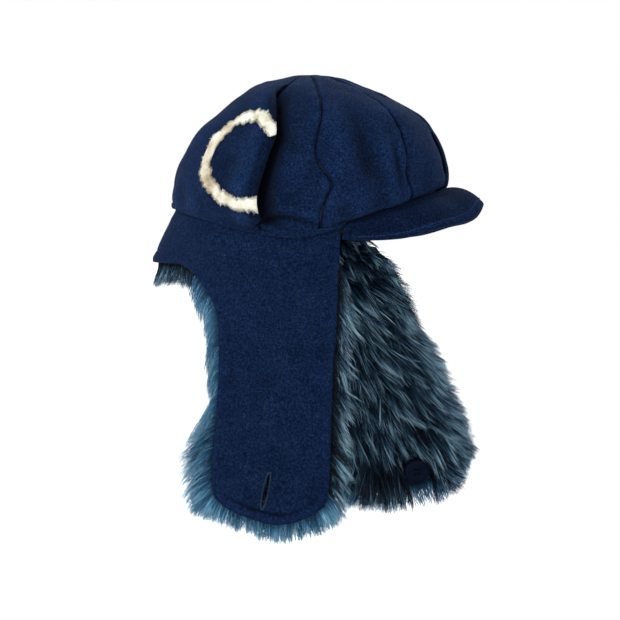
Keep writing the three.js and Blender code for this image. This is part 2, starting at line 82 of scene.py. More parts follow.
def catmull(pts, n=60):
    pts = np.array(pts, float)
    out = []
    for i in range(len(pts) - 1):
        p0, p1, p2, p3 = pts[max(i - 1, 0)], pts[i], pts[i + 1], pts[min(i + 2, len(pts) - 1)]
        t = (np.arange(n) / n)[:, None]
        v0, v1 = (p2 - p0) * 0.5, (p3 - p1) * 0.5
        out.append((2 * p1 - 2 * p2 + v0 + v1) * t ** 3 + (-3 * p1 + 3 * p2 - 2 * v0 - v1) * t * t + v0 * t + p1)
    out = np.concatenate(out + [pts[-1:]])
    d = np.r_[0, np.cumsum(np.linalg.norm(np.diff(out, axis=0), axis=1))]
    return d / d[-1], out

def along(curve, t):
    return np.stack([np.interp(t, curve[0], curve[1][:, k]) for k in range(curve[1].shape[1])], -1)

def unit(v):
    return v / np.maximum(np.linalg.norm(v, axis=-1, keepdims=True), 1e-12)

# ------------------------------------------------------------------ meshes
def mesh_object(name, verts, faces, mat, smooth_shade=True, mats=None, mat_index=None):
    me = bpy.data.meshes.new(name)
    verts = np.asarray(verts, float).reshape(-1, 3) * MM
    faces = np.asarray(faces)
    me.vertices.add(len(verts))
    me.vertices.foreach_set("co", verts.ravel().astype(np.float32))
    n = faces.shape[1]
    me.loops.add(faces.size)
    me.loops.foreach_set("vertex_index", faces.ravel().astype(np.int32))
    me.polygons.add(len(faces))
    me.polygons.foreach_set("loop_start", (np.arange(len(faces)) * n).astype(np.int32))
    for m in (mats or [mat]):
        me.materials.append(m)
    if mat_index is not None:
        me.polygons.foreach_set("material_index", np.asarray(mat_index, np.int32))
    me.update(calc_edges=True)
    me.validate()
    if smooth_shade:
        me.polygons.foreach_set("use_smooth", np.ones(len(me.polygons), bool))
    ob = bpy.data.objects.new(name, me)
    bpy.context.scene.collection.objects.link(ob)
    return ob

def grid_faces(nu, nv, base=0, flip=False, wrap=False):
    """Quads of a (nv+1) x (nu+1) grid of points, row by row."""
    i, j = np.meshgrid(np.arange(nu), np.arange(nv))
    w = nu if wrap else nu + 1
    i2 = (i + 1) % w if wrap else i + 1
    a, b, c, d = j * w + i, j * w + i2, (j + 1) * w + i2, (j + 1) * w + i
    f = np.stack([a, b, c, d] if not flip else [a, d, c, b], -1).reshape(-1, 4)
    return f + base

def shell(outer, inner):
    """A closed cloth between two grids (nv+1, nu+1, 3): verts and faces."""
    nv, nu = outer.shape[0] - 1, outer.shape[1] - 1
    n = (nu + 1) * (nv + 1)
    v = np.concatenate([outer.reshape(-1, 3), inner.reshape(-1, 3)])
    f = [grid_faces(nu, nv), grid_faces(nu, nv, n, True)]
    at = lambda i, j: j * (nu + 1) + i
    i = np.arange(nu)
    j = np.arange(nv)
    f.append(np.stack([at(i, 0), at(i, 0) + n, at(i + 1, 0) + n, at(i + 1, 0)], -1))
    f.append(np.stack([at(i + 1, nv), at(i + 1, nv) + n, at(i, nv) + n, at(i, nv)], -1))
    f.append(np.stack([at(0, j + 1), at(0, j + 1) + n, at(0, j) + n, at(0, j)], -1))
    f.append(np.stack([at(nu, j), at(nu, j) + n, at(nu, j + 1) + n, at(nu, j + 1)], -1))
    f = np.concatenate(f)
    # faces point out: the sign of the volume says which way round they are
    a, b, c, d = (v[f[:, k]] for k in range(4))
    vol = (np.einsum("ij,ij->i", a, np.cross(b, c)) + np.einsum("ij,ij->i", a, np.cross(c, d))).sum()
    return v, (f if vol > 0 else f[:, ::-1])

def grid_normals(P, outward_from):
    du = np.gradient(P, axis=1)
    dv = np.gradient(P, axis=0)
    n = unit(np.cross(du, dv))
    s = np.sign(np.einsum("...k,...k->...", n, P - outward_from))
    s = np.where(np.median(s) >= 0, 1.0, -1.0)
    return n * s

def tube(points, radius, sides=6, closed=False, flat=1.0, up=None):
    """verts, faces of a tube along points; radius may be an array."""
    P = np.asarray(points, float)
    n = len(P)
    r = np.broadcast_to(np.asarray(radius, float), (n,))
    T = unit(np.roll(P, -1, 0) - np.roll(P, 1, 0)) if closed else unit(np.gradient(P, axis=0))
    ref = np.array(up if up is not None else (0.0, 0.3, 1.0))
    A = unit(np.cross(T, ref))
    B = unit(np.cross(T, A))
    ang = np.arange(sides) * 2 * math.pi / sides
    V = P[:, None] + r[:, None, None] * (np.cos(ang)[None, :, None] * A[:, None] + flat * np.sin(ang)[None, :, None] * B[:, None])
    V = V.reshape(-1, 3)
    k = np.arange(n if closed else n - 1)
    s = np.arange(sides)
    K, S = np.meshgrid(k, s, indexing="ij")
    K2, S2 = (K + 1) % n, (S + 1) % sides
    F = np.stack([K * sides + S, K * sides + S2, K2 * sides + S2, K2 * sides + S], -1).reshape(-1, 4)
    if not closed:
        c0, c1 = len(V), len(V) + 1
        V = np.concatenate([V, P[:1], P[-1:]])
        s = np.arange(sides)
        F = np.concatenate([F,
            np.stack([np.full(sides, c0), (s + 1) % sides, s, s], -1),
            np.stack([np.full(sides, c1), (n - 1) * sides + s, (n - 1) * sides + (s + 1) % sides, (n - 1) * sides + (s + 1) % sides], -1)])
    return V, F

class Gather:
    """Joins many small solids into one mesh of triangles."""
    def __init__(self):
        self.v, self.f, self.n = [], [], 0
    def add(self, v, f):
        f = np.asarray(f)
        if f.shape[1] == 4:
            f = np.concatenate([f[:, [0, 1, 2]], f[:, [0, 2, 3]]])
            f = f[(f[:, 0] != f[:, 1]) & (f[:, 1] != f[:, 2]) & (f[:, 0] != f[:, 2])]
        self.v.append(np.asarray(v, float))
        self.f.append(f + self.n)
        self.n += len(v)
    def object(self, name, mat):
        return mesh_object(name, np.concatenate(self.v), np.concatenate(self.f), mat)

# ------------------------------------------------------------------ materials
def new_material(name):
    m = bpy.data.materials.new(name)
    m.use_nodes = True
    nt = m.node_tree
    return m, nt, nt.nodes["Principled BSDF"]

def node(nt, kind, **kw):
    n = nt.nodes.new(kind)
    for k, v in kw.items():
        if k in n.inputs:
            n.inputs[k].default_value = v
        else:
            setattr(n, k, v)
    return n

def ramp(nt, stops):
    r = nt.nodes.new("ShaderNodeValToRGB")
    e = r.color_ramp.elements
    while len(e) < len(stops):
        e.new(0.5)
    for el, (p, c) in zip(e, stops):
        el.position = p
        el.color = (*c, 1.0)
    return r

def wool_material(name, dark, mid, light, nap=0.35, coarse=1.0, painted_light_and_shade=False):
    """Felted wool melton: mottled nap, tiny fibres, low soft sheen."""
    m, nt, b = new_material(name)
    co = nt.nodes.new("ShaderNodeTexCoord")
    big = node(nt, "ShaderNodeTexNoise", Scale=55.0, Detail=3.0, Roughness=0.55)
    fine = node(nt, "ShaderNodeTexNoise", Scale=620.0 * coarse, Detail=5.0, Roughness=0.72)
    fibre = node(nt, "ShaderNodeTexNoise", Scale=1900.0 * coarse, Detail=3.0, Roughness=0.8, Distortion=2.2)
    for n in (big, fine, fibre):
        nt.links.new(co.outputs["Object"], n.inputs["Vector"])
    mix1 = node(nt, "ShaderNodeMath", operation="MULTIPLY_ADD")
    nt.links.new(fine.outputs["Fac"], mix1.inputs[0]); mix1.inputs[1].default_value = 0.80
    half = node(nt, "ShaderNodeMath", operation="MULTIPLY")
    nt.links.new(fibre.outputs["Fac"], half.inputs[0]); half.inputs[1].default_value = 0.36
    nt.links.new(half.outputs[0], mix1.inputs[2])
    add = node(nt, "ShaderNodeMath", operation="MULTIPLY_ADD")
    nt.links.new(big.outputs["Fac"], add.inputs[0]); add.inputs[1].default_value = 0.12
    nt.links.new(mix1.outputs[0], add.inputs[2])
    r = ramp(nt, [(0.515, dark), (0.635, mid), (0.755, light), (0.87, tuple(2.1 * c for c in light))])
    # a few flecks of pale lint caught in the nap
    vor = node(nt, "ShaderNodeTexVoronoi", Scale=85.0)
    nt.links.new(co.outputs["Object"], vor.inputs["Vector"])
    fleck = node(nt, "ShaderNodeMapRange")
    fleck.inputs["From Min"].default_value = 0.055
    fleck.inputs["From Max"].default_value = 0.03
    fleck.inputs["To Min"].default_value = 0.0
    fleck.inputs["To Max"].default_value = 0.22
    nt.links.new(vor.outputs["Distance"], fleck.inputs["Value"])
    lint = node(nt, "ShaderNodeMath", operation="ADD")
    nt.links.new(add.outputs[0], lint.inputs[0]); nt.links.new(fleck.outputs[0], lint.inputs[1])
    nt.links.new(lint.outputs[0], r.inputs["Fac"])
    if painted_light_and_shade:
        # painted light and shade: the colour is scaled by a per-vertex factor, lighter on ridges and darker in creases,
        # along seams and under the pleat
        at = node(nt, "ShaderNodeAttribute", attribute_name="painted_light_and_shade")
        sc = node(nt, "ShaderNodeVectorMath", operation="SCALE")
        nt.links.new(r.outputs["Color"], sc.inputs[0])
        nt.links.new(at.outputs["Fac"], sc.inputs["Scale"])
        nt.links.new(sc.outputs[0], b.inputs["Base Color"])
    else:
        nt.links.new(r.outputs["Color"], b.inputs["Base Color"])
    bm = node(nt, "ShaderNodeBump", Strength=nap, Distance=0.0009)
    nt.links.new(mix1.outputs[0], bm.inputs["Height"])
    nt.links.new(bm.outputs["Normal"], b.inputs["Normal"])
    b.inputs["Roughness"].default_value = 0.95
    b.inputs["Specular IOR Level"].default_value = 0.03
    b.inputs["Sheen Weight"].default_value = 0.035
    b.inputs["Sheen Roughness"].default_value = 0.5
    b.inputs["Sheen Tint"].default_value = (0.25, 0.45, 1.0, 1)
    return m

def cloth_material(name, a, c, scale=900.0, rough=0.7, spec=0.3, sheen=0.1, bumps=0.3):
    """A woven cloth: fine diagonal bands from one wave texture, broken up by noise."""
    m, nt, b = new_material(name)
    co = nt.nodes.new("ShaderNodeTexCoord")
    w1 = node(nt, "ShaderNodeTexWave", wave_type="BANDS", bands_direction="DIAGONAL", Scale=scale, Distortion=1.2)
    w1.inputs["Detail"].default_value = 2.0
    n1 = node(nt, "ShaderNodeTexNoise", Scale=scale * 0.9, Detail=4.0)
    for n in (w1, n1):
        nt.links.new(co.outputs["Object"], n.inputs["Vector"])
    s = node(nt, "ShaderNodeMath", operation="MULTIPLY_ADD")
    nt.links.new(w1.outputs["Fac"], s.inputs[0]); s.inputs[1].default_value = 0.4
    h = node(nt, "ShaderNodeMath", operation="MULTIPLY")
    nt.links.new(n1.outputs["Fac"], h.inputs[0]); h.inputs[1].default_value = 0.6
    nt.links.new(h.outputs[0], s.inputs[2])
    r = ramp(nt, [(0.25, a), (0.75, c)])
    nt.links.new(s.outputs[0], r.inputs["Fac"])
    nt.links.new(r.outputs["Color"], b.inputs["Base Color"])
    bm = node(nt, "ShaderNodeBump", Strength=bumps, Distance=0.0004)
    nt.links.new(s.outputs[0], bm.inputs["Height"])
    nt.links.new(bm.outputs["Normal"], b.inputs["Normal"])
    b.inputs["Roughness"].default_value = rough
    b.inputs["Specular IOR Level"].default_value = spec
    b.inputs["Sheen Weight"].default_value = sheen
    return m

def fur_material(name, stops, spread=0.5):
    """Pile: colour runs from root to tip along V, and varies from strand to strand along U, of the strands' own UV map."""
    m, nt, b = new_material(name)
    uv = node(nt, "ShaderNodeUVMap", uv_map="OFBake")
    sep = nt.nodes.new("ShaderNodeSeparateXYZ")
    nt.links.new(uv.outputs["UV"], sep.inputs[0])
    n = node(nt, "ShaderNodeTexNoise", noise_dimensions="1D", Scale=37.0, Detail=1.0)
    nt.links.new(sep.outputs["X"], n.inputs["W"])
    # along the strand the colour runs up the ramp; how far up depends on the strand
    grow = node(nt, "ShaderNodeMath", operation="MULTIPLY_ADD")
    nt.links.new(sep.outputs["X"], grow.inputs[0]); grow.inputs[1].default_value = spread; grow.inputs[2].default_value = 0.30
    mul = node(nt, "ShaderNodeMath", operation="MULTIPLY")
    nt.links.new(sep.outputs["Y"], mul.inputs[0]); nt.links.new(grow.outputs[0], mul.inputs[1])
    off = node(nt, "ShaderNodeMath", operation="MULTIPLY_ADD")
    nt.links.new(n.outputs["Fac"], off.inputs[0]); off.inputs[1].default_value = 0.14
    nt.links.new(mul.outputs[0], off.inputs[2])
    r = ramp(nt, stops)
    nt.links.new(off.outputs[0], r.inputs["Fac"])
    nt.links.new(r.outputs["Color"], b.inputs["Base Color"])
    b.inputs["Roughness"].default_value = 0.5
    b.inputs["Specular IOR Level"].default_value = 0.10
    return m

# the crown, flap, neck and visor wool take painted light and shade from a per-vertex factor
NAVY = wool_material("wool_navy", (0.0002, 0.0016, 0.0080), (0.0014, 0.0060, 0.0220), (0.0050, 0.0142, 0.043), nap=1.0, painted_light_and_shade=True)
NAVY_VISOR = wool_material("wool_navy_visor", (0.0001, 0.0009, 0.0060), (0.0006, 0.0036, 0.0155), (0.0042, 0.0120, 0.0380), nap=1.0, painted_light_and_shade=True)
NAVY_EDGE = wool_material("wool_navy_edge", (0.0004, 0.0022, 0.0092), (0.0017, 0.0064, 0.0220), (0.0052, 0.0145, 0.043), nap=0.9)
SATIN = cloth_material("lining_satin_navy", (0.0035, 0.006, 0.015), (0.008, 0.013, 0.03), 1400.0, 0.42, 0.35, 0.0, 0.12)
TWILL = cloth_material("sweatband_twill_navy", (0.004, 0.0065, 0.016), (0.012, 0.018, 0.036), 700.0, 0.8, 0.1, 0.0, 0.5)
BOARD = cloth_material("visor_stiffener_black", (0.012, 0.012, 0.014), (0.028, 0.028, 0.032), 300.0, 0.6, 0.4, 0.0, 0.2)
CREAM = None
THREAD = cloth_material("thread_navy", (0.006, 0.013, 0.036), (0.016, 0.030, 0.070), 2500.0, 0.7, 0.1, 0.0, 0.3)
THREAD_DARK = cloth_material("thread_button_navy", (0.0006, 0.0024, 0.0085), (0.0020, 0.0060, 0.0180), 2500.0, 0.8, 0.03, 0.0, 0.3)
THREAD_PALE = cloth_material("thread_buttonhole", (0.003, 0.009, 0.022), (0.014, 0.032, 0.060), 2500.0, 0.7, 0.1, 0.0, 0.3)
UNDERCOAT = wool_material("fur_backing", (0.0012, 0.003, 0.0055), (0.0028, 0.0065, 0.011), (0.006, 0.014, 0.022), nap=0.6)
FUR_STOPS = [(0.13, (0.0001, 0.0005, 0.0022)), (0.34, (0.0006, 0.0034, 0.0092)), (0.54, (0.0045, 0.0178, 0.0375)), (0.76, (0.032, 0.086, 0.144)), (1.0, (0.22, 0.36, 0.46))]
FUR = fur_material("fur_slate_blue", FUR_STOPS, 1.15)
# painted light: where the pile stands out past the cloth at the back, a brighter, bluer copy of the pile's colours
# stands in for light shining through the thin pile
FUR_PAINTED_BACKLIGHT_STOPS = [(0.05, (0.0008, 0.0070, 0.0200)), (0.18, (0.0060, 0.0310, 0.0680)), (0.34, (0.032, 0.112, 0.200)), (0.56, (0.115, 0.270, 0.390)), (1.0, (0.28, 0.46, 0.58))]
FUR_PAINTED_BACKLIGHT = fur_material("fur_slate_blue_painted_backlight", FUR_PAINTED_BACKLIGHT_STOPS, 0.95)
# painted light: along the flap's front edge the outermost locks get a brighter copy of the pile's colours, where they
# would catch the light
FUR_PAINTED_LIT_FRONT_STOPS = [(0.12, (0.0001, 0.0006, 0.0026)), (0.30, (0.0010, 0.0050, 0.0120)), (0.48, (0.0090, 0.0290, 0.0540)), (0.66, (0.058, 0.138, 0.208)), (1.0, (0.26, 0.41, 0.50))]
FUR_PAINTED_LIT_FRONT = fur_material("fur_slate_blue_front_painted_light", FUR_PAINTED_LIT_FRONT_STOPS, 1.25)

# ------------------------------------------------------------------ the hat's surfaces, as the CAD has them
CX, EF, ER, EW = 3.0, 107.0, 111.0, 87.0
WOOL = 2.4
def edge_z(c):
    return np.where(c > 0, 35.0 * np.abs(c) ** 1.2, 24.5 * np.abs(c) ** 1.5)
def edge_pt(phi, off=0.0, dz=0.0):
    c, s = np.cos(phi), np.sin(phi)
    arm = np.where(c > 0, EF, ER)
    return np.stack([CX + (arm + off) * c, (EW + off) * s, edge_z(c) + dz], -1)
PF = catmull([[107, 38.5], [112, 41.5], [113.6, 49], [112.5, 58], [108.5, 71], [103, 82], [93, 97], [77, 108], [58, 117.5], [33, 127], [14, 131.5], [0, 132]])
PR = catmull([[111, 28], [112.5, 33], [110.5, 45], [108, 55], [104.5, 63], [98, 73], [87, 88], [76, 98], [64, 108], [51, 117.5], [36, 126], [14, 131.5], [0, 132]])
PS = catmull([[87, 3.5], [92.5, 8], [96, 20], [97.5, 38], [96.5, 57], [93, 74], [86, 90], [74, 105], [56, 118], [34, 127], [14, 131.5], [0, 132]])
def crown(phi, t):
    c, s = np.cos(phi), np.sin(phi)
    tt = np.clip(t, 0, 1)
    f, r, g = along(PF, tt), along(PR, tt), along(PS, tt)
    a = np.where((c > 0)[..., None], f, r)
    z = a[..., 1] * c * c + g[..., 1] * s * s
    z0 = np.where(c > 0, 38.5, 28.0) * c * c + 3.5 * s * s
    return np.stack([CX + a[..., 0] * c, g[..., 0] * s, z + (edge_z(c) + 3.5 - z0) * (1 - smooth(tt / 0.3))], -1)
def crown_frame(phi, t):
    """Point, outward normal, and the unit vector towards the front (smaller |phi|)."""
    e = 2e-3
    t0 = np.clip(t, 0.006, 0.985)
    du = crown(phi + e, t0) - crown(phi - e, t0)
    dv = crown(phi, t0 + e) - crown(phi, t0 - e)
    n = unit(np.cross(du, dv))
    s = np.sign(np.einsum("...k,...k->...", n, crown(phi, t0) - np.array([CX, 0, 40.0])))
    n = n * s[..., None]
    return crown(phi, t), n, unit(du)

# ------------------------------------------------------------------ creases
def blur(M, k):
    """Box mean over (2k+1) x (2k+1) cells of a grid."""
    for ax in (0, 1):
        pad = [(0, 0), (0, 0)]
        pad[ax] = (k + 1, k)
        c = np.cumsum(np.pad(M, pad, mode="edge"), axis=ax)
        n = 2 * k + 1
        M = (np.take(c, np.arange(n, c.shape[ax]), ax) - np.take(c, np.arange(0, c.shape[ax] - n), ax)) / n
    return M

# painted light and shade from the relief: lighter on ridges, darker in hollows
def relief_shade(d, k=4, gain=0.42):
    return np.clip(1 + gain * (d - blur(d, k)) + 0.10 * (d - blur(d, 3 * k)), 0.45, 1.35)

# writes the per-vertex factor that scales the wool's colour: painted shade below 1, painted light above 1
def paint(ob, values=None):
    n = len(ob.data.vertices)
    at = ob.data.attributes.get("painted_light_and_shade") or ob.data.attributes.new("painted_light_and_shade", "FLOAT", "POINT")
    v = np.ones(n) if values is None else np.asarray(values, float).ravel()
    at.data.foreach_set("value", v.astype(np.float32))
    return ob

# ------------------------------------------------------------------ placing a piece
def place(ob, body, nodes=()):
    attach(ob, body)
    if nodes:
        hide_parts(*nodes)
    return ob

def soften(ob, degrees=50):
    try:
        ob.data.set_sharp_from_angle(angle=math.radians(degrees))
    except Exception:
        pass
    return ob

# ------------------------------------------------------------------ crown seams: angle from the front against the way up
def wavy(rows):
    t = np.linspace(0, 1, 241)
    f = np.interp(t, [r[0] for r in rows], [r[1] for r in rows])
    k = np.exp(-(np.arange(-14, 15) / 6.0) ** 2)
    k /= k.sum()
    g = np.convolve(np.pad(f, 14, mode="edge"), k, "valid")
    return lambda x: np.interp(x, t, g)

def ripple(deg, seed, amp=1.6):
    tab = np.random.default_rng(seed).uniform(-amp, amp, 9)
    tab[0] = 0
    return wavy([(i / 8, deg + tab[i]) for i in range(9)])

SEAM = {
    ("R", 0): ripple(0, 11, 1.0),
    ("R", 1): wavy([(0, 36), (.05, 38), (.113, 40), (.188, 39.5), (.275, 36), (.362, 33.8), (.49, 31), (.6, 27.5), (.8, 30), (1, 34)]),
    ("R", 2): wavy([(0, 80.2), (.077, 80.0), (.125, 78.4), (.175, 75.6), (.21, 74.6), (.25, 76.2), (.30, 79.6), (.35, 81.6), (.40, 80.6), (.448, 78.3), (.542, 75.0), (.70, 74.6), (.873, 74), (1, 76)]),
    ("R", 3): wavy([(0, 105.2), (.07, 107.6), (.12, 109.2), (.20, 109.2), (.283, 107.8), (.36, 106.2), (.425, 104.4), (.50, 107.2), (.57, 110.6), (.68, 111.6), (.80, 110.6), (1, 109)]),
    ("R", 4): ripple(180, 12, 1.0),
    ("L", 1): ripple(34, 13, 2.2), ("L", 2): ripple(80, 14, 2.2), ("L", 3): ripple(125, 15, 2.2),
}
SEAM[("L", 0)] = lambda t: -SEAM[("R", 0)](t)
SEAM[("L", 4)] = lambda t: 360 - SEAM[("R", 4)](t)
PLEAT = catmull([(-32, 0), (-23, 1.0), (-16, 2.9), (-10, 4.9), (-5, 6.0), (-1, 6.1), (2.6, 5.1), (5.2, 3.1), (5.9, 0.7), (4.6, -1.4), (1.5, -2.6), (-4, -2.9)], 20)
_pq = PLEAT[1]
_top = int(np.argmax(_pq[:, 0]))
def pleat_amount(t):
    return smooth(t, 0.0, 0.07) * (1 - smooth(t, 0.54, 0.78))
PROFILE_LEN = 178.0

def relief(P, t, rho, s0, s1, seed, calm=1.0):
    """How far the cloth stands out from the panel's plain surface: rounded between its seams, puckered beside them."""
    s = np.minimum(s0, s1)
    d = 0.95 * (1 - np.exp(-s / 13.0)) - 1.6 * np.exp(-(s / 1.6) ** 2) - 0.55 * np.exp(-(s / 5.0) ** 2)
    arc = t * PROFILE_LEN
    for si, k in ((s0, seed), (s1, seed + 5)):
        q = np.stack([arc + 0.35 * si, si * 0.22, np.full_like(arc, 37.0 * k)], -1)
        d = d + calm * (1.25 * noise(q, 12.5, k) + 0.45 * noise(q, 6.0, k + 1)) * np.exp(-si / 10.0) * smooth(arc, 2, 12)
    d = d + 1.5 * fbm(P, 58, seed + 20, 2) + 0.85 * noise(P, 25, seed + 21) + 0.22 * noise(P, 10, seed + 22)
    # small creases standing up from the band
    q = np.stack([rho * 0 + np.arctan2(P[..., 1], P[..., 0]) * 92, arc * 0.25, arc * 0], -1)
    d = d + 1.15 * noise(q, 13, seed + 23) * bump(arc - 12, 13)
    return d * smooth(rho, 4.0, 34.0)

NV = 120
ROWS = np.r_[np.linspace(0, 0.985, NV - 3), 0.990, 0.994, 0.997, 0.9985]

def skirt(P, phi, amount=3.8):
    """Carries the panels' lower edge down inside the outer band, except over the visor."""
    a = np.abs(np.degrees((phi + math.pi) % (2 * math.pi) - math.pi))
    k = smooth(a, 70, 77)
    P = P.copy()
    rows = np.arange(P.shape[0])[:, None]
    P[..., 2] -= amount * k * np.exp(-rows / 2.2)
    return P

def crown_panel(side, i, name, seed):
    sign = -1 if side == "R" else 1
    nu = 46
    t = ROWS[:, None] * np.ones(nu + 1)
    a, b = SEAM[(side, i)](t), SEAM[(side, i + 1)](t)
    u = (1 - np.cos(np.linspace(0, math.pi, nu + 1))) / 2
    u = (0.45 * np.linspace(0, 1, nu + 1) + 0.55 * u)[None, :] * np.ones_like(t)
    mid = sign * np.radians((a + b) / 2)
    rho = np.hypot(*np.moveaxis(crown(mid, t), -1, 0)[:2] - np.array([CX, 0])[:, None, None])
    half = np.degrees(0.12 / np.maximum(rho, 2))
    lo, hi = a + half, b - half
    phi_deg = lerp(lo, hi, u)
    if (side, i) == ("R", 2):      # runs in under the pleat
        u2 = u ** 0.9
        phi_deg = lerp(lo, b + np.degrees(1.2 / np.maximum(rho, 6)), u2)
    if (side, i) == ("R", 3):      # folds over forward at the pleat
        n1 = 20
        q = np.zeros((1, nu + 1))
        idx = np.linspace(1, 0, n1)
        A = along(PLEAT, idx)
        f = pleat_amount(t[:, :n1])
        lin = np.linspace(0, -32, n1)[None, :]
        aa = lerp(lin, A[None, :, 0], f)
        bb = f * A[None, :, 1]
        r2 = np.maximum(rho[:, :n1], 1.0)
        scale = np.minimum(1.0, np.radians(b - a)[:, :n1] * r2 / 70.0)
        first = a[:, :n1] + np.degrees(-aa * scale / r2) + half[:, :n1]
        rest = lerp(first[:, -1:], hi[:, n1 - 1:], np.linspace(0, 1, nu + 2 - n1)[None, :])[:, 1:]
        phi_deg = np.concatenate([first, rest], 1)
        fold = np.zeros_like(phi_deg)
        fold[:, :n1] = bb
    phi = sign * np.radians(phi_deg)
    P, n, _ = crown_frame(phi, t)
    rho = np.hypot(P[..., 0] - CX, P[..., 1])
    s0 = np.abs(np.radians(phi_deg - a)) * rho
    s1 = np.abs(np.radians(b - phi_deg)) * rho
    if (side, i) == ("R", 2):
        f = pleat_amount(t)
        d = relief(P, t, rho, s0, s1 + 14 * f, seed)
        d = d - (4.6 + 2.2 * smooth(t, 0.10, 0.24)) * f * (1 - smooth(np.radians(b - phi_deg) * rho, 5.0, 20.0))
    elif (side, i) == ("R", 3):
        f = pleat_amount(t)
        d = relief(P, t, rho, s0 + 16 * f, s1, seed, 0.6) + fold
        sag = np.zeros_like(d)
        sag[:, :n1] = -f[:, :n1] * 0.0
        d = d + sag
    else:
        d = relief(P, t, rho, s0, s1, seed)
    if (side, i) == ("R", 1):      # the soft hollow in the front part of the side
        d = d - 3.6 * bump(phi_deg - 57, 8.0) * bump(t - 0.31, 0.17) + 1.3 * bump(phi_deg - 68, 6) * bump(t - 0.30, 0.2)
        # a hard crease beside the front seam, low down
        d = d - 2.2 * bump(phi_deg - 43.5 - 10 * (0.2 - t), 2.2) * bump(t - 0.22, 0.13) + 1.4 * bump(phi_deg - 48.5, 3.2) * bump(t - 0.2, 0.12)
    if (side, i) == ("R", 2):      # a short curved crease where the cloth puffs over the band
        w = (phi_deg - 94) / 12.5
        d = d - 1.9 * bump(t - (0.028 + 0.052 * (1 - w * w)), 0.013) * (1 - smooth(np.abs(w), 0.8, 1.15)) + 1.0 * bump(t - (0.062 + 0.052 * (1 - w * w)), 0.022) * (1 - smooth(np.abs(w), 0.8, 1.15))
    if (side, i) == ("R", 3):      # a faint crease near the top
        d = d - 0.9 * bump(phi_deg - 118 - 30 * (t - 0.7), 3.0) * bump(t - 0.72, 0.10)
    O = P + n * d[..., None]
    if (side, i) == ("R", 3):
        N = grid_normals(O, np.array([CX, 0, 40.0]))
        # along the fold the sheet turns round, so the normal follows it
        du = np.gradient(O, axis=1)
        dv = np.gradient(O, axis=0)
        N = unit(np.cross(du, dv))
        if np.einsum("k,k->", N[60, 35], O[60, 35] - np.array([CX, 0, 40.0])) < 0:
            N = -N
    else:
        N = grid_normals(O, np.array([CX, 0, 40.0]))
    th = 2.0 * np.ones_like(d)
    I = O - N * (th * smooth(rho, 0, 6))[..., None] - N * 0.15
    # painted light and shade: lighter on the relief's ridges, darker in its hollows and along the seams' grooves
    shade_paint = relief_shade(d) * (1 - 0.38 * np.exp(-(s0 / 1.5) ** 2)) * (1 - 0.38 * np.exp(-(s1 / 1.5) ** 2))
    # painted shadow: beside the pleat's fold the valley's colour is painted nearly black
    if (side, i) == ("R", 2):
        q = np.radians(b - phi_deg) * rho
        shade_paint = shade_paint * (1 - 0.90 * f * (1 - smooth(q, 8.0, 26.0))) * (1 - 0.35 * f * (1 - smooth(q, 10, 44)))
    # painted shadow on the fold's turned-under edge
    if (side, i) == ("R", 3):
        under = np.zeros_like(shade_paint)
        under[:, :n1] = 1 - smooth(np.arange(n1), 3.0, 10.0)[None, :]
        shade_paint = shade_paint * (1 - 0.82 * f * under)
    O, I = skirt(O, phi), skirt(I, phi)
    v, f_ = shell(O, I)
    ob = mesh_object(name + "_cloth", v, f_, NAVY)
    # painted light and shade: the outside is painted a little lighter, the inside painted darker
    paint(ob, np.concatenate([1.10 * shade_paint.ravel(), 0.85 * shade_paint.ravel()]))
    place(ob, "hat", [name])
    return O, phi_deg, t

PANELS = ["front", "side_front", "side_rear", "rear"]
CROWN = {}
for k, side in enumerate("RL"):
    for i in range(4):
        name = f"crown_{PANELS[i]}_{'right' if side == 'R' else 'left'}"
        CROWN[(side, i)] = crown_panel(side, i, name, 3 + 2 * i + 11 * k)

# ------------------------------------------------------------------ tape sewn behind every crown seam, at the top, behind the pleat and round the opening
def tape_on_crown(name, seam, sign, before, after, t0, t1, off, shadow_paint=None):
    """A strip of tape on the crown's inside along a seam; before and after are its width in mm towards smaller and larger angles."""
    t = np.linspace(t0, t1, 60)[:, None] * np.ones(9)
    mid = sign * np.radians(seam(t))
    rho = np.maximum(12.0, np.hypot(*np.moveaxis(crown(mid, t), -1, 0)[:2] - np.array([CX, 0])[:, None, None]))
    a = np.linspace(-before, after, 9)[None, :]
    P, n, _ = crown_frame(mid + sign * a / rho, t)
    v, f = shell(P + n * off, P + n * (off - 0.6))
    if shadow_paint is None:
        place(mesh_object(name, v, f, TWILL), "hat")
    else:       # a strip of the crown's own wool, deep in the pleat's shadow
        ob = mesh_object(name, v, f, NAVY)
        # painted shadow: the strip's colour is painted near-black so it reads as the shade inside the pleat
        paint(ob, shadow_paint * np.ones(len(v)))
        place(ob, "hat")

for sd, i in (("R", 0), ("R", 1), ("R", 2), ("R", 3), ("R", 4), ("L", 1), ("L", 2), ("L", 3)):
    tape_on_crown(f"seam_tape_{'right' if sd == 'R' else 'left'}_{i}", SEAM[(sd, i)], -1 if sd == "R" else 1, 5.0, 5.0, 0.78 if (sd, i) == ("R", 3) else 0.0, 0.97, -3.3)
# the pleat strip is painted at 0.12, a painted shadow in the fold
tape_on_crown("pleat_tape", SEAM[("R", 3)], -1, 26.0, 16.0, 0.0, 0.80, -8.4, 0.12)
_ph, _tt = np.meshgrid(np.linspace(0, 2 * math.pi, 49), np.linspace(0.93, 0.999, 8))
_P, _n, _ = crown_frame(_ph, _tt)
_v, _f = shell(_P - _n * 3.0, _P - _n * 3.6)
place(mesh_object("crown_top_stay", _v, _f, TWILL), "hat")

def panel_bvh(O):
    from mathutils.bvhtree import BVHTree
    nv, nu = O.shape[0] - 1, O.shape[1] - 1
    return BVHTree.FromPolygons([tuple(p) for p in O.reshape(-1, 3)], [tuple(int(x) for x in f) for f in grid_faces(nu, nv)])

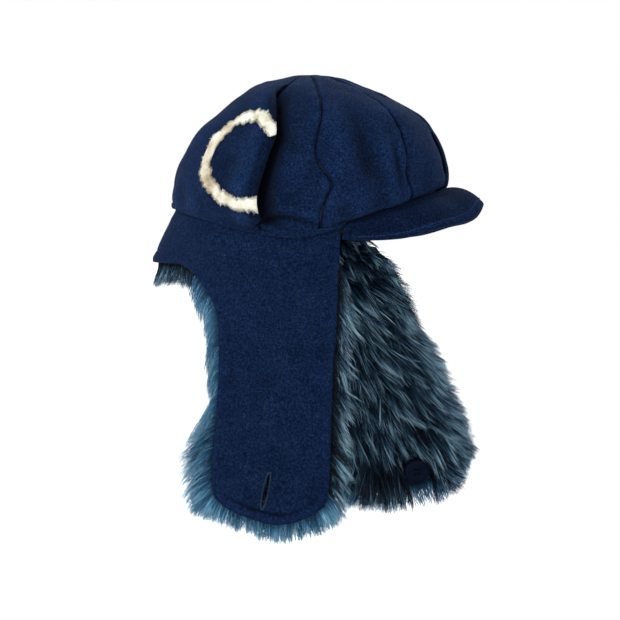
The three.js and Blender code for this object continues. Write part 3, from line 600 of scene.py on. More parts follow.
# ------------------------------------------------------------------ lining and sweatband
def lining(name, a, b, seed):
    nu, nv = 26, 60
    t = np.linspace(0.035, 0.985, nv + 1)[:, None] * np.ones(nu + 1)
    u = np.linspace(0, 1, nu + 1)[None, :] * np.ones_like(t)
    phi = np.radians(lerp(a, b, u))
    P, n, _ = crown_frame(phi, t)
    rho = np.hypot(P[..., 0] - CX, P[..., 1])
    gap = np.sign(b - a) * (0.5 / np.maximum(rho, 2))
    phi = np.radians(lerp(a, b, u)) + gap * (1 - 2 * u)
    P, n, _ = crown_frame(phi, t)
    s = np.minimum(u, 1 - u) * np.radians(abs(b - a)) * rho
    d = -7.4 - 0.4 * fbm(P, 34, seed, 3) + 0.8 * np.exp(-(s / 2.5) ** 2)
    # room for the pleat on the right
    d = d - 3.4 * bump(np.degrees(phi) + 104, 13) * smooth(t, 0.08, 0.20) * (1 - smooth(t, 0.75, 0.92))
    O = P + n * d[..., None]
    I = P + n * (d - 0.9)[..., None]
    v, f = shell(O, I)
    place(mesh_object(name + "_satin", v, f, SATIN), "hat", [name])

for name, a, b, s in (("lining_front_right", 0, -90, 61), ("lining_rear_right", -90, -180, 62), ("lining_front_left", 0, 90, 63), ("lining_rear_left", 90, 180, 64)):
    lining(name, a, b, s)

def ring_section(sec, n=260):
    """A closed strip round the opening: sec(phi) gives (k, 2) rows of (outward offset, height)."""
    phi = np.arange(n) * 2 * math.pi / n
    S = sec(phi)
    k = S.shape[1]
    c, s = np.cos(phi), np.sin(phi)
    arm = np.where(c > 0, EF, ER)
    V = np.stack([CX + (arm[:, None] + S[..., 0]) * c[:, None], (EW + S[..., 0]) * s[:, None], edge_z(c)[:, None] + S[..., 1]], -1).reshape(-1, 3)
    i, j = np.meshgrid(np.arange(n), np.arange(k), indexing="ij")
    i2, j2 = (i + 1) % n, (j + 1) % k
    F = np.stack([i * k + j, i2 * k + j, i2 * k + j2, i * k + j2], -1).reshape(-1, 4)
    return V, F

def volume_sign(V, F):
    a, b, c, d = (V[F[:, k]] for k in range(4))
    return (np.einsum("ij,ij->i", a, np.cross(b, c)) + np.einsum("ij,ij->i", a, np.cross(c, d))).sum()

def sweat(phi):
    z = np.array([-3.2, -3.0, 1, 6, 11, 16, 21, 22.4, 22.8, 22.4, 21, 16, 11, 6, 1, -3.0])
    o = np.array([-9.8, -9.0, -8.8, -8.8, -8.9, -8.9, -8.9, -9.1, -9.8, -10.5, -10.8, -10.8, -10.8, -10.8, -10.8, -10.6])
    q = np.stack([np.cos(phi) * 95, np.sin(phi) * 90, phi * 0], -1)
    w = 0.5 * noise(q, 22, 71)[:, None] * smooth(z, 0, 20)
    return np.stack([o[None, :] + w, z[None, :] + 0.4 * noise(q, 30, 72)[:, None]], -1)

V, F = ring_section(sweat)
F = F if volume_sign(V, F) > 0 else F[:, ::-1]
band_in = mesh_object("sweatband_twill", V, F, TWILL)
place(band_in, "hat", ["sweatband"])

# ------------------------------------------------------------------ outer band: a folded wool strip from one end of the visor round the back to the other
def band():
    a0 = math.radians(69.5)
    n = 300
    phi = np.linspace(a0, 2 * math.pi - a0, n)
    sec = np.array([(0.35, -4.6), (0.8, -5.0), (1.25, -4.6), (1.6, -3.4), (1.7, -1.6), (1.7, 0.2), (1.6, 1.9), (1.35, 3.2), (1.0, 3.8), (0.6, 3.8), (0.35, 3.0), (0.35, 0.0), (0.35, -3.0)])
    sec[:, 1] = -0.4 + (sec[:, 1] + 5.0) * 0.48
    q = np.stack([np.cos(phi) * 95, np.sin(phi) * 90, 0 * phi], -1)
    end = smooth((phi - a0) * 90, 0, 9) * smooth((2 * math.pi - a0 - phi) * 90, 0, 9)
    o = sec[None, :, 0] + (0.35 * noise(q, 16, 81) + 0.2 * noise(q, 7, 82))[:, None] * (sec[None, :, 0] > 0.7) - 1.0 * (1 - end)[:, None] * (sec[None, :, 0] > 0.7)
    z = sec[None, :, 1] * (1 + 0.10 * noise(q, 19, 83))[:, None] + (0.6 * noise(q, 33, 84))[:, None]
    c, s = np.cos(phi), np.sin(phi)
    arm = np.where(c > 0, EF, ER)
    V = np.stack([CX + (arm[:, None] + o) * c[:, None], (EW + o) * s[:, None], edge_z(c)[:, None] + z], -1)
    k = len(sec)
    V = V.reshape(-1, 3)
    i, j = np.meshgrid(np.arange(n - 1), np.arange(k), indexing="ij")
    j2 = (j + 1) % k
    F = np.stack([i * k + j, (i + 1) * k + j, (i + 1) * k + j2, i * k + j2], -1).reshape(-1, 4)
    g = Gather()
    caps = []
    for base, flip in ((0, False), ((n - 1) * k, True)):
        c0 = V[base:base + k].mean(0)
        V = np.concatenate([V, c0[None]])
        m = len(V) - 1
        for j in range(k):
            tri = [base + j, base + (j + 1) % k, m]
            caps.append(tri if flip else tri[::-1])
    tri = np.concatenate([F[:, [0, 1, 2]], F[:, [0, 2, 3]], np.array(caps)])
    a, b, c3 = (V[tri[:, m]] for m in range(3))
    if np.einsum("ij,ij->i", a, np.cross(b, c3)).sum() < 0:
        tri = tri[:, ::-1]
    return mesh_object("outer_band_roll", V, tri, NAVY_EDGE)
place(band(), "hat", ["outer_band"])

def opening_tape(phi):
    z = np.array([-6.0, 0, 7, 14, 14.3, 14, 7, 0, -6.0, -6.3])
    o = np.array([-3.1, -3.1, -3.1, -3.1, -3.4, -3.7, -3.7, -3.7, -3.7, -3.4])
    c = np.cos(phi)[:, None]
    low = np.where(c > 0.34, 5.0, 0.0)      # no lower than the visor's seam at the front
    return np.stack([o[None, :] + 0 * c, np.maximum(z[None, :], -6.3 + low)], -1)

V, F = ring_section(opening_tape)
F = F if volume_sign(V, F) > 0 else F[:, ::-1]
place(mesh_object("opening_tape", V, F, TWILL), "hat")

# ------------------------------------------------------------------ visor
def visor(th, v):
    a = np.abs(th)
    s, c = np.sin(np.radians(th)), np.cos(np.radians(th))
    phi = np.radians(th / 90 * 68.0)
    base = edge_pt(phi, -2.6, 2.0)
    rim = np.stack([38 + 108 * np.maximum(c, 0) ** 0.92, 81 * s, 28 * np.exp(-((a / 27) ** 2)) - a / 90 + 8.5 * np.exp(-(((a - 42) / 19) ** 2))], -1)
    h = 4 * v * (1 - v)
    lift, out = lerp(7.5, 1.5, smooth(a / 90)), lerp(0, 4.5, smooth(a / 80))
    return np.stack([lerp(base[..., 0], rim[..., 0], v) + h * out * c * 0.6, lerp(base[..., 1], rim[..., 1], v) + h * out * s, lerp(base[..., 2], rim[..., 2], v) + h * lift], -1)
def visor_frame(th, v):
    t, w = np.clip(th, -88, 88), np.clip(v, 0.02, 0.98)
    dt = visor(t + 0.5, w) - visor(t - 0.5, w)
    dv = visor(t, w + 0.01) - visor(t, w - 0.01)
    n = unit(np.cross(dt, dv))
    n = np.where(n[..., 2:3] < 0, -n, n)
    n = np.where(((np.abs(th) > 60) & (n[..., 1] * th < 0))[..., None], -n, n)
    return visor(th, v), n, unit(dv)

def visor_piece(name, v_rows, offs, thick, mat, slot, node, span, wrap=None, seed=90):
    """A layer of the visor; wrap adds rows that turn round the rim (list of (outward, off))."""
    nu = 150
    th = np.linspace(-span, span, nu + 1)[None, :] * np.ones((len(v_rows), 1))
    vv = np.array(v_rows)[:, None] * np.ones(nu + 1)
    P, n, e = visor_frame(th, vv)
    wob = 0.5 * fbm(P, 30, seed, 2) * smooth(vv, 0.05, 0.3)
    rim = smooth(vv, 0.86, 0.97)
    O = P + n * (np.array(offs)[:, None] * np.ones(nu + 1) + wob * (1 - rim))[..., None]
    if wrap is not None:
        rows = []
        for out, off in wrap:
            rows.append(P[-1] + e[-1] * out + n[-1] * off)
        O = np.concatenate([O, np.stack(rows)], 0)
    du, dv = np.gradient(O, axis=1), np.gradient(O, axis=0)
    N = unit(np.cross(du, dv))
    m = O.shape[0] // 3
    N = N * np.sign(np.einsum("k,k->", N[m, nu // 2], n[min(m, n.shape[0] - 1), nu // 2]))
    I = O - N * thick
    v, f = shell(O, I)
    return v, f, P, n, e, th

vr = np.r_[np.linspace(0.0, 0.9, 26), np.linspace(0.915, 0.975, 7)]
curl = [(0.55, -0.05), (1.1, -0.25), (1.45, -0.6)]
v, f, VP, VN, VE, VTH = visor_piece("visor_top", vr, np.zeros(len(vr)), 1.45, NAVY_VISOR, "visor_wool", "visor_top_cover", 90, curl)
top_cover = mesh_object("visor_top_cloth", v, f, NAVY_VISOR)
nr, ncol = len(vr) + len(curl), 151
rr = np.r_[vr, np.ones(len(curl))][:, None] * np.ones(ncol)
# painted highlight: a lighter band just inside the rim, darker again at the very edge; also lighter near the crown
visor_painted_light = 0.85 + 0.75 * smooth(rr, 0.80, 0.93) * (1 - 0.65 * smooth(rr, 0.945, 0.97)) + 0.35 * (1 - smooth(rr, 0.0, 0.3))
paint(top_cover, np.concatenate([visor_painted_light.ravel()] * 2) if 2 * nr * ncol == len(top_cover.data.vertices) else None)
place(top_cover, "hat", ["visor_top_cover"])
vr2 = np.r_[np.linspace(0.022, 0.9, 20), np.linspace(0.92, 0.975, 5)]
curl2 = [(0.6, -6.2), (1.25, -5.7), (1.8, -4.9), (2.05, -3.9), (2.05, -2.9), (1.85, -2.0)]
v, f, *_ = visor_piece("visor_under", vr2, np.full(len(vr2), -6.7), -1.1, NAVY_VISOR, "visor_wool", "visor_under_cover", 88, curl2, 95)
under = mesh_object("visor_under_cloth", v, f, NAVY_VISOR)
# painted shade: the under cover is painted darker all over
paint(under, np.full(len(under.data.vertices), 0.62))
place(under, "hat", ["visor_under_cover"])
vr3 = np.linspace(0.035, 0.955, 20)
v, f, *_ = visor_piece("visor_board", vr3, np.full(len(vr3), -2.9), 1.6, BOARD, "visor_board", "visor_board", 84)
board = mesh_object("visor_board_card", v, f, BOARD)
place(board, "hat", ["visor_board"])
# a welt where the two covers meet round the rim, and a row of topstitching behind it
th = np.linspace(-86, 86, 260)
P, n, e = visor_frame(th, np.full_like(th, 0.975))
welt = P + e * 1.75 + n * -1.25
v, f = tube(welt, 0.85 + 0.08 * noise(welt, 5, 96), 8)
f = np.concatenate([f[:, [0, 1, 2]], f[:, [0, 2, 3]]])
f = f[(f[:, 0] != f[:, 1]) & (f[:, 1] != f[:, 2]) & (f[:, 0] != f[:, 2])]
welt_ob = mesh_object("visor_rim_welt", v, f, NAVY_EDGE)
place(welt_ob, "hat")
g = Gather()
for v_row in (0.905,):
    th = np.linspace(-84, 84, 1500)
    P, n, e = visor_frame(th, np.full_like(th, v_row))
    P = P + n * (0.35 + 0.5 * fbm(P, 30, 90, 2) * (1 - smooth(v_row, 0.86, 0.97)))[..., None]
    L = np.r_[0, np.cumsum(np.linalg.norm(np.diff(P, axis=0), axis=1))]
    pitch, length = 3.2, 2.3
    for k in range(int(L[-1] / pitch)):
        ls = np.linspace(k * pitch, k * pitch + length, 5)
        pts = np.stack([np.interp(ls, L, P[:, m]) for m in range(3)], -1)
        nn = np.stack([np.interp(ls, L, n[:, m]) for m in range(3)], -1)
        pts = pts + nn * (np.array([-0.5, 0.0, 0.12, 0.0, -0.5]))[:, None]
        tv, tf = tube(pts, 0.24, 5)
        g.add(tv, tf)
place(g.object("visor_topstitching", THREAD), "hat")

# ------------------------------------------------------------------ hanging cloth: neck and flaps, as the CAD has them
SPLIT = -80.0
def curtain_top(c):
    return edge_z(c) - 4.8
def top_z(x):
    return curtain_top((x - CX) / np.where(x - CX > 0, EF, ER))
def curtain_y(x, z):
    dz = np.maximum(0, top_z(x) - z)
    k = smooth((-x - 20) / 60)
    c = (x - CX) / (np.where(x - CX > 0, EF, ER) + np.where(x < 0, 0.25 * dz * k, 0))
    return (EW + 0.16 * k * dz) * np.sqrt(np.maximum(0.02, 1 - c * c))
def middle_x(side, z):
    return np.where(side < 0, -11.5 + 0.038 * (z + 5), 3.5 - 0.435 * np.minimum(0, z + 8))
def flap_half(side, x, z):
    w = np.minimum(1.3, np.abs(x - middle_x(side, z)) / 48)
    return lerp(curtain_y(x, z), 86 - 4.5 * w * w, smooth((-z - 4) / 80))
def flap_at(side, x, z, inset=0.0):
    return np.stack([x, side * (flap_half(side, x, z) - inset), z], -1)

def top_row(x0, x1, drop, n=12):
    x = np.linspace(x0, x1, n + 1)
    return [list(p) for p in np.stack([x, top_z(x) - drop], -1)]
tz = lambda x: float(top_z(np.array(float(x))))
def swing(p):
    c, s = math.cos(math.radians(25.7)), math.sin(math.radians(25.7))
    dx, dz = p[0] + 11.5, p[1] + 5
    return [3.5 + c * dx - s * dz, -8 + s * dx + c * dz]
R_REAR = [[-79.98, tz(-79.98) + 6.0], [-79.98, -31.5], [-74.7, -36.5], [-68.7, -44.5], [-63.5, -54.5], [-61, -66], [-60.3, -110], [-62.5, -140], [-66.5, -175], [-67, -195], [-64, -207]]
R_BOTTOM = [[-64, -207], [-56, -214], [-46, -219], [-31, -224.5], [-13, -229], [3, -226.5], [16, -220], [23, -213]]
R_FRONT = [[37, tz(37) + 1.0], [34.5, -46], [33, -70], [30.7, -116], [28.5, -175], [27.5, -195], [26, -206], [23, -213]]
R_TOP = top_row(-79.98, 37, -6.0)
R_TOP[-1][1] -= 5.0
R_TOP[-2][1] -= 1.5
L_TOP = top_row(-79.98, 30, -6.0, 10) + [[33.5, 2.5], [36, -1.5], [40.5, -7.5], [52, -9.5]]
L_REAR = [[-79.98, tz(-79.98) + 6.0], [-79.98, -31.5], [-73, -38], [-60, -49], [-44, -61], [-28, -73.5]] + [swing(p) for p in R_REAR[5:]]
L_BOTTOM = [swing(p) for p in R_BOTTOM]
L_FRONT = [[52, -9.5]] + [swing(p) for p in R_FRONT[1:]]

def rounded(pts, n=200, w=5.0):
    """An outline through the points, its corners eased but its ends kept; evenly spaced."""
    pts = np.array(pts, float)
    L = np.r_[0, np.cumsum(np.linalg.norm(np.diff(pts, axis=0), axis=1))]
    s = np.linspace(0, L[-1], n)
    P = np.stack([np.interp(s, L, pts[:, k]) for k in range(2)], -1)
    m = max(1, int(round(w / (L[-1] / n))))
    k = np.hanning(2 * m + 3)[1:-1]
    k /= k.sum()
    ext = np.concatenate([2 * P[:1] - P[m:0:-1], P, 2 * P[-1:] - P[-2:-m - 2:-1]])
    return np.stack([np.convolve(ext[:, j], k, "valid") for j in range(2)], -1)

def coons(top, rear, bottom, front):
    E = [rounded(top, 200, 3), rounded(rear, 300, 4.5), rounded(bottom, 200, 8), rounded(front, 300, 8)]
    E[1][0], E[3][0] = E[0][0], E[0][-1]
    E[1][-1], E[3][-1] = E[2][0], E[2][-1]
    def curve(P):
        L = np.r_[0, np.cumsum(np.linalg.norm(np.diff(P, axis=0), axis=1))]
        L /= L[-1]
        return lambda t: np.stack([np.interp(t, L, P[:, 0]), np.interp(t, L, P[:, 1])], -1)
    T, R, B, F = (curve(e) for e in E)
    p00, p10, p01, p11 = E[0][0], E[0][-1], E[2][0], E[2][-1]
    def at(u, v):
        U, V = u[..., None], v[..., None]
        return (1 - V) * T(u) + V * B(u) + (1 - U) * R(v) + U * F(v) - ((1 - U) * (1 - V) * p00 + U * (1 - V) * p10 + (1 - U) * V * p01 + U * V * p11)
    at.edges = E
    return at

def edge_distance(xz, lines):
    """Distance in mm of points to the nearest of some outlines."""
    best = np.full(xz.shape[:-1], 1e9)
    for L in lines:
        Q = L[::2]
        for k in range(0, len(Q), 40):
            d = np.sqrt(((xz[..., None, :] - Q[k:k + 40]) ** 2).sum(-1)).min(-1)
            best = np.minimum(best, d)
    return best

R_PATCH, L_PATCH = coons(R_TOP, R_REAR, R_BOTTOM, R_FRONT), coons(L_TOP, L_REAR, L_BOTTOM, L_FRONT)

def weights_flap(P, w0=3.0, wz=24.0):
    x, z = P[..., 0], P[..., 2]
    top = np.where(x > 30, np.minimum(top_z(np.minimum(x, 30)), lerp(tz(30), -9.5, smooth(x, 30, 42))), top_z(x))
    away = np.hypot(x - SPLIT, np.maximum(0, -31.5 - z))      # from the line where the flap meets the neck curtain
    return smooth(top - z, w0, w0 + wz) * smooth(away, 0.0, 30.0)

def blended(ob, b, w, nodes):
    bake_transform(ob)
    if nodes:
        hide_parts(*nodes)
    return ob

def cloth_noise(P, seed, amp=1.0):
    return amp * (1.5 * fbm(P, 70, seed, 2) + 0.4 * noise(P, 23, seed + 3) + 0.12 * noise(P, 8, seed + 4))

def flap_cloth(side, patch, name, seed):
    nu, nv = 76, 150
    us = (0.5 * np.linspace(0, 1, nu + 1) + 0.5 * (1 - np.cos(np.linspace(0, math.pi, nu + 1))) / 2)
    vs = np.linspace(0, 1, nv + 1)
    vs = 0.75 * vs + 0.25 * (1 - np.cos(vs * math.pi)) / 2
    u, v = np.meshgrid(us, vs)
    xz = patch(u, v)
    E = patch.edges
    de = edge_distance(xz, [E[1][int(len(E[1]) * (0.14 if side < 0 else 0.14)):], E[2], E[3][30:]])
    x, z = xz[..., 0], xz[..., 1]
    P0 = flap_at(side, x, z)
    depth_top = np.maximum(0, top_z(np.minimum(x, 37)) - z)
    calm = smooth(depth_top, 2, 26) * smooth(x, SPLIT, SPLIT + 22)
    hem = 0.75 * bump(de - 3.2, 2.6) - 0.85 * bump(de - 8.2, 1.2) + 0.25 * bump(de - 11, 3)
    hem = hem * smooth(depth_top, 10, 30)
    near = smooth(x, SPLIT + 0.5, SPLIT + 9)
    hem = hem * near * (0.12 + 0.88 * smooth(-z, 196, 212) * smooth(x, -70, -40)) if side < 0 else 0.15 * hem * near
    roll = -1.0 * np.exp(-(de / 1.3) ** 2) * near
    pull = 0.35 * noise(np.stack([x, z, 0 * x], -1), 7.0, seed + 9) * bump(de - 8, 5) * smooth(depth_top, 10, 30)
    cav_d = calm * cloth_noise(P0, seed) * 1.0 + hem + pull
    off = calm * (cloth_noise(P0, seed)) + hem + roll + pull
    # under the band the cloth is gathered a little
    off = off - 0.5 * (1 - smooth(depth_top, 0, 6)) + 0.6 * noise(np.stack([x, z * 0.2, 0 * x], -1), 15, seed + 12) * bump(depth_top - 16, 14) * smooth(x, SPLIT, SPLIT + 20)
    if side < 0:
        # drawn in towards the buttonhole
        a = math.radians(-11.7)
        dx, dz = x + 22.4, z + 201
        p, q = dx * math.cos(a) + dz * math.sin(a), -dx * math.sin(a) + dz * math.cos(a)
        off = off + 0.7 * bump(p, 6) * bump(q, 17) - 0.6 * bump(p, 14) * bump(np.abs(q) - 20, 7)
    wave = 0.8 * noise(np.stack([x, z, 0 * x], -1), 26, seed + 15) * np.exp(-de / 7.0) * smooth(depth_top, 20, 50) * near
    n2 = unit(np.stack([x - middle_x(side, z), 0 * x, z + 120], -1) * np.array([1.0, 0, 0.25]))
    O = P0 + np.stack([0 * x, side * off, 0 * x], -1) + n2 * wave[..., None]
    N = grid_normals(O, np.array([0, 0, -100.0]))
    I = O - N * (2.3 + 0.6 * bump(de - 3.4, 2.8) * smooth(depth_top, 10, 30) - 0.9 * np.exp(-(de / 1.2) ** 2))[..., None]
    I[..., 0] = np.maximum(I[..., 0], SPLIT + 0.02)
    # painted light and shade from the cloth's relief
    shade_paint = relief_shade(off, 4, 0.30)
    if side < 0:      # the lower hem's fold
        # painted shade along the lower hem's fold line
        shade_paint = shade_paint * (1 - 0.50 * bump(de - 8.2, 1.5) * smooth(-z, 200, 213) * smooth(x, -62, -45) * (1 - smooth(x, -14, 4)))
    PAINTED_SHADE[side] = np.where(near > 0.5, shade_paint, lerp(1.0, shade_paint, near))
    return O, I, u, v

def boolean_cut(ob, cutter):
    m = ob.modifiers.new("cut", "BOOLEAN")
    m.operation = "DIFFERENCE"
    m.solver = "EXACT"
    m.object = cutter
    dg = bpy.context.evaluated_depsgraph_get()
    new = bpy.data.meshes.new_from_object(ob.evaluated_get(dg), depsgraph=dg)
    ob.modifiers.clear()
    old = ob.data
    ob.data = new
    bpy.data.meshes.remove(old)
    bpy.data.objects.remove(cutter)

SLOT_C, SLOT_A = np.array([-22.4, -201.0]), math.radians(-11.7)
def slot_xz(p, q):
    c, s = math.cos(SLOT_A), math.sin(SLOT_A)
    return SLOT_C[0] + p * c - q * s, SLOT_C[1] + p * s + q * c
def slot_local(x, z):
    c, s = math.cos(SLOT_A), math.sin(SLOT_A)
    dx, dz = x - SLOT_C[0], z - SLOT_C[1]
    return dx * c + dz * s, -dx * s + dz * c
def lens(half_len, half_w, n=40):
    """The open buttonhole's outline: widest at its middle, narrow at its ends."""
    a = np.arange(n) * 2 * math.pi / n
    q = half_len * np.sin(a)
    p = half_w * np.sign(np.cos(a)) * np.abs(np.cos(a)) ** 0.85
    return p, q
def slot_cutter(half_len, half_w, y0, y1):
    p, q = lens(half_len, half_w)
    x, z = slot_xz(p, q)
    n = len(x)
    V = np.concatenate([np.stack([x, np.full(n, y0), z], -1), np.stack([x, np.full(n, y1), z], -1)]) * MM
    me = bpy.data.meshes.new("cutter")
    F = [tuple(range(n)), tuple(range(2 * n - 1, n - 1, -1))] + [((k + 1) % n, k, k + n, (k + 1) % n + n) for k in range(n)]
    me.from_pydata([tuple(v) for v in V], [], F)
    import bmesh
    bm = bmesh.new()
    bm.from_mesh(me)
    bmesh.ops.recalc_face_normals(bm, faces=bm.faces)
    bm.to_mesh(me)
    bm.free()
    ob = bpy.data.objects.new("cutter", me)
    bpy.context.scene.collection.objects.link(ob)
    return ob

def coords(ob):
    co = np.zeros(len(ob.data.vertices) * 3, np.float32)
    ob.data.vertices.foreach_get("co", co)
    return co.reshape(-1, 3).astype(float) / MM

FLAT = {}
FLAP_GRID = {}
PAINTED_SHADE = {}
for side, patch, nm, body, seed in ((-1, R_PATCH, "right", "right_flap", 101), (1, L_PATCH, "left", "left_flap", 131)):
    O, I, u, v = flap_cloth(side, patch, nm, seed)
    FLAP_GRID[side] = (O, I, u, v)
    vv, ff = shell(O, I)
    ob = mesh_object(f"{nm}_flap_cloth", vv, ff, NAVY)
    # the flap's cloth carries painted light and shade; its inside is painted darker
    paint(ob, np.concatenate([PAINTED_SHADE[side].ravel(), 0.8 * PAINTED_SHADE[side].ravel()]))
    if side < 0:
        boolean_cut(ob, slot_cutter(14.3, 1.8, -120, -60))
        me = ob.data
        me.polygons.foreach_set("use_smooth", np.ones(len(me.polygons), bool))
        soften(ob, 60)
    else:
        soften(ob, 55)
    blended(ob, body, weights_flap(coords(ob)), [f"{nm}_flap_shell"])
    du, dv = np.diff(O, axis=1)[:-1], np.diff(O, axis=0)[:, :-1]
    area = np.linalg.norm(np.cross(du, dv), axis=-1).sum() * 1e-6
    lo, hi = O.reshape(-1, 3).min(0), O.reshape(-1, 3).max(0)
    FLAT[nm] = (ob, area, (hi[0] - lo[0]) * MM, (hi[2] - lo[2]) * MM)

def neck_at(side, u, v, inset, drop, hang):
    f = lerp(0.25, 0.47, smooth(u * 1.4))
    g = lerp(0.16, 0.2, u)
    bottom = np.interp(u, [0, .06, .12, .27, 1], [-31.5, -28.5, -25, -20.8, -19.3]) - hang
    dz = np.zeros_like(u)
    for _ in range(7):
        c0 = (SPLIT - 0.2 - CX) / (ER + f * dz - inset)
        phi = lerp(np.arccos(c0), math.pi, u)
        c, s = np.cos(phi), np.sin(phi)
        zt = curtain_top(c) - drop
        z = lerp(zt, bottom, v)
        dz = zt + drop - z
        x = CX + (ER + f * dz - inset) * c
        y = np.maximum(0.012, (EW + g * dz - inset) * s)
        x = np.where(u <= 1e-9, SPLIT - 0.2, x)
    return np.stack([x, side * y, z], -1)

def neck_frame(side, u, v, inset=0.0, drop=0.0, hang=0.0):
    P = neck_at(side, u, v, inset, drop, hang)
    e = 0.01
    du = neck_at(side, np.clip(u + e, 0, 1), v, inset, drop, hang) - neck_at(side, np.clip(u - e, 0, 1), v, inset, drop, hang)
    dv = neck_at(side, u, v + e, inset, drop, hang) - neck_at(side, u, v - e, inset, drop, hang)
    n = unit(np.cross(du, dv))
    n = np.where((n * (P - np.array([CX, 0, P[..., 2].mean()]))).sum(-1, keepdims=True) < 0, -n, n)
    return P, n, unit(dv)

def weights_neck(u, v, P):
    depth = np.maximum(0, curtain_top(np.clip((P[..., 0] - CX) / ER, -1, 0)) - P[..., 2])
    return smooth(depth, 2.0, 20.0) * smooth(u, 0.0, 0.5)

def neck_cloth(side, nm, seed):
    nu, nv = 70, 44
    u, v = np.meshgrid(np.linspace(0, 1, nu + 1), np.r_[-0.20, -0.08, np.linspace(0, 1, nv - 1)])
    P, n, dn = neck_frame(side, u, v)
    span = np.abs(P[-1, :, 2] - P[2, :, 2])[None, :]
    de = (1 - v) * span
    off = 0.9 * fbm(P, 46, seed, 2) * smooth(v, 0.1, 0.5) * smooth(u, 0, 0.2)
    far = smooth(u, 0.0, 0.10)
    off = off + ((0.30 * bump(de - 3.2, 2.6) - 0.55 * bump(de - 8.2, 1.2)) * smooth(v, .2, .5) - 1.0 * np.exp(-(de / 1.3) ** 2)) * far
    off = off - 0.5 * (1 - smooth(v, -0.05, 0.12))
    seamd = (1 - u) * 120
    off = off - 1.0 * np.exp(-(seamd / 2.0) ** 2) + 0.3 * bump(seamd - 4, 2.5)
    O = P + n * off[..., None] + dn * (0.7 * noise(P, 24, seed + 3) * np.exp(-de / 6))[..., None] * smooth(u, 0, .1)[..., None]
    N = grid_normals(O, np.array([CX, 0, 0.0]))
    I = O - N * (2.2 - 0.9 * np.exp(-(de / 1.2) ** 2))[..., None]
    # nothing crosses the split plane or the centre back
    for A in (O, I):
        A[:, 0, 0] = SPLIT - 0.02
        A[..., 1] = side * np.maximum(0.01, side * A[..., 1])
    vv, ff = shell(O, I)
    ob = paint(soften(mesh_object(f"neck_cloth_{nm}", vv, ff, NAVY), 55))
    U = np.concatenate([u.ravel(), u.ravel()])
    Vv = np.concatenate([v.ravel(), v.ravel()])
    blended(ob, "neck", weights_neck(U, Vv, vv), [f"neck_shell_{nm}"])
    du, dv = np.diff(O, axis=1)[:-1], np.diff(O, axis=0)[:, :-1]
    area = np.linalg.norm(np.cross(du, dv), axis=-1).sum() * 1e-6
    width = np.linalg.norm(np.diff(O[-1], axis=0), axis=1).sum() * MM
    FLAT["neck_" + nm] = (ob, area, width, float(np.linalg.norm(np.diff(O[:, nu // 2], axis=0), axis=1).sum() * MM) * 1.15)

neck_cloth(-1, "right", 151)
neck_cloth(1, "left", 161)

# ------------------------------------------------------------------ pile
def backing(name, side, patch, u0, u1, v0, v1, inset0, depth, seed, cutter=None, hole=None):
    """The dense pile base: a thin dark padded layer on the cloth's inner side."""
    nu, nv = 60, 110
    u, v = np.meshgrid(np.linspace(u0, u1, nu + 1), np.linspace(v0, v1, nv + 1))
    xz = patch(u, v)
    x, z = xz[..., 0], xz[..., 1]
    eu = np.minimum((u - u0), (u1 - u)) / (u1 - u0)
    ev = np.minimum((v - v0), (v1 - v)) / (v1 - v0)
    k = smooth(eu, 0, 0.10) * smooth(ev, 0, 0.06)
    A = flap_at(side, x, z, inset0)
    B = flap_at(side, x, z, 0) - np.stack([0 * x, side * (inset0 + lerp(1.2, depth, k) + 0.9 * k * fbm(np.stack([x, z, 0 * x], -1), 9, seed, 2)), 0 * x], -1)
    if hole is not None:
        r = np.hypot(x - hole[0], z - hole[1])
        B[..., 1] += side * (depth - 1.3) * (1 - smooth(r, hole[2] - 2, hole[2] + 3)) * k
    vv, ff = shell(A, B)
    ob = mesh_object(name, vv, ff, UNDERCOAT)
    if cutter is not None:
        boolean_cut(ob, cutter)
        me = ob.data
        me.polygons.foreach_set("use_smooth", np.ones(len(me.polygons), bool))
        soften(ob, 60)
    return ob

RINGS = np.array([0.0, 0.22, 0.46, 0.72])

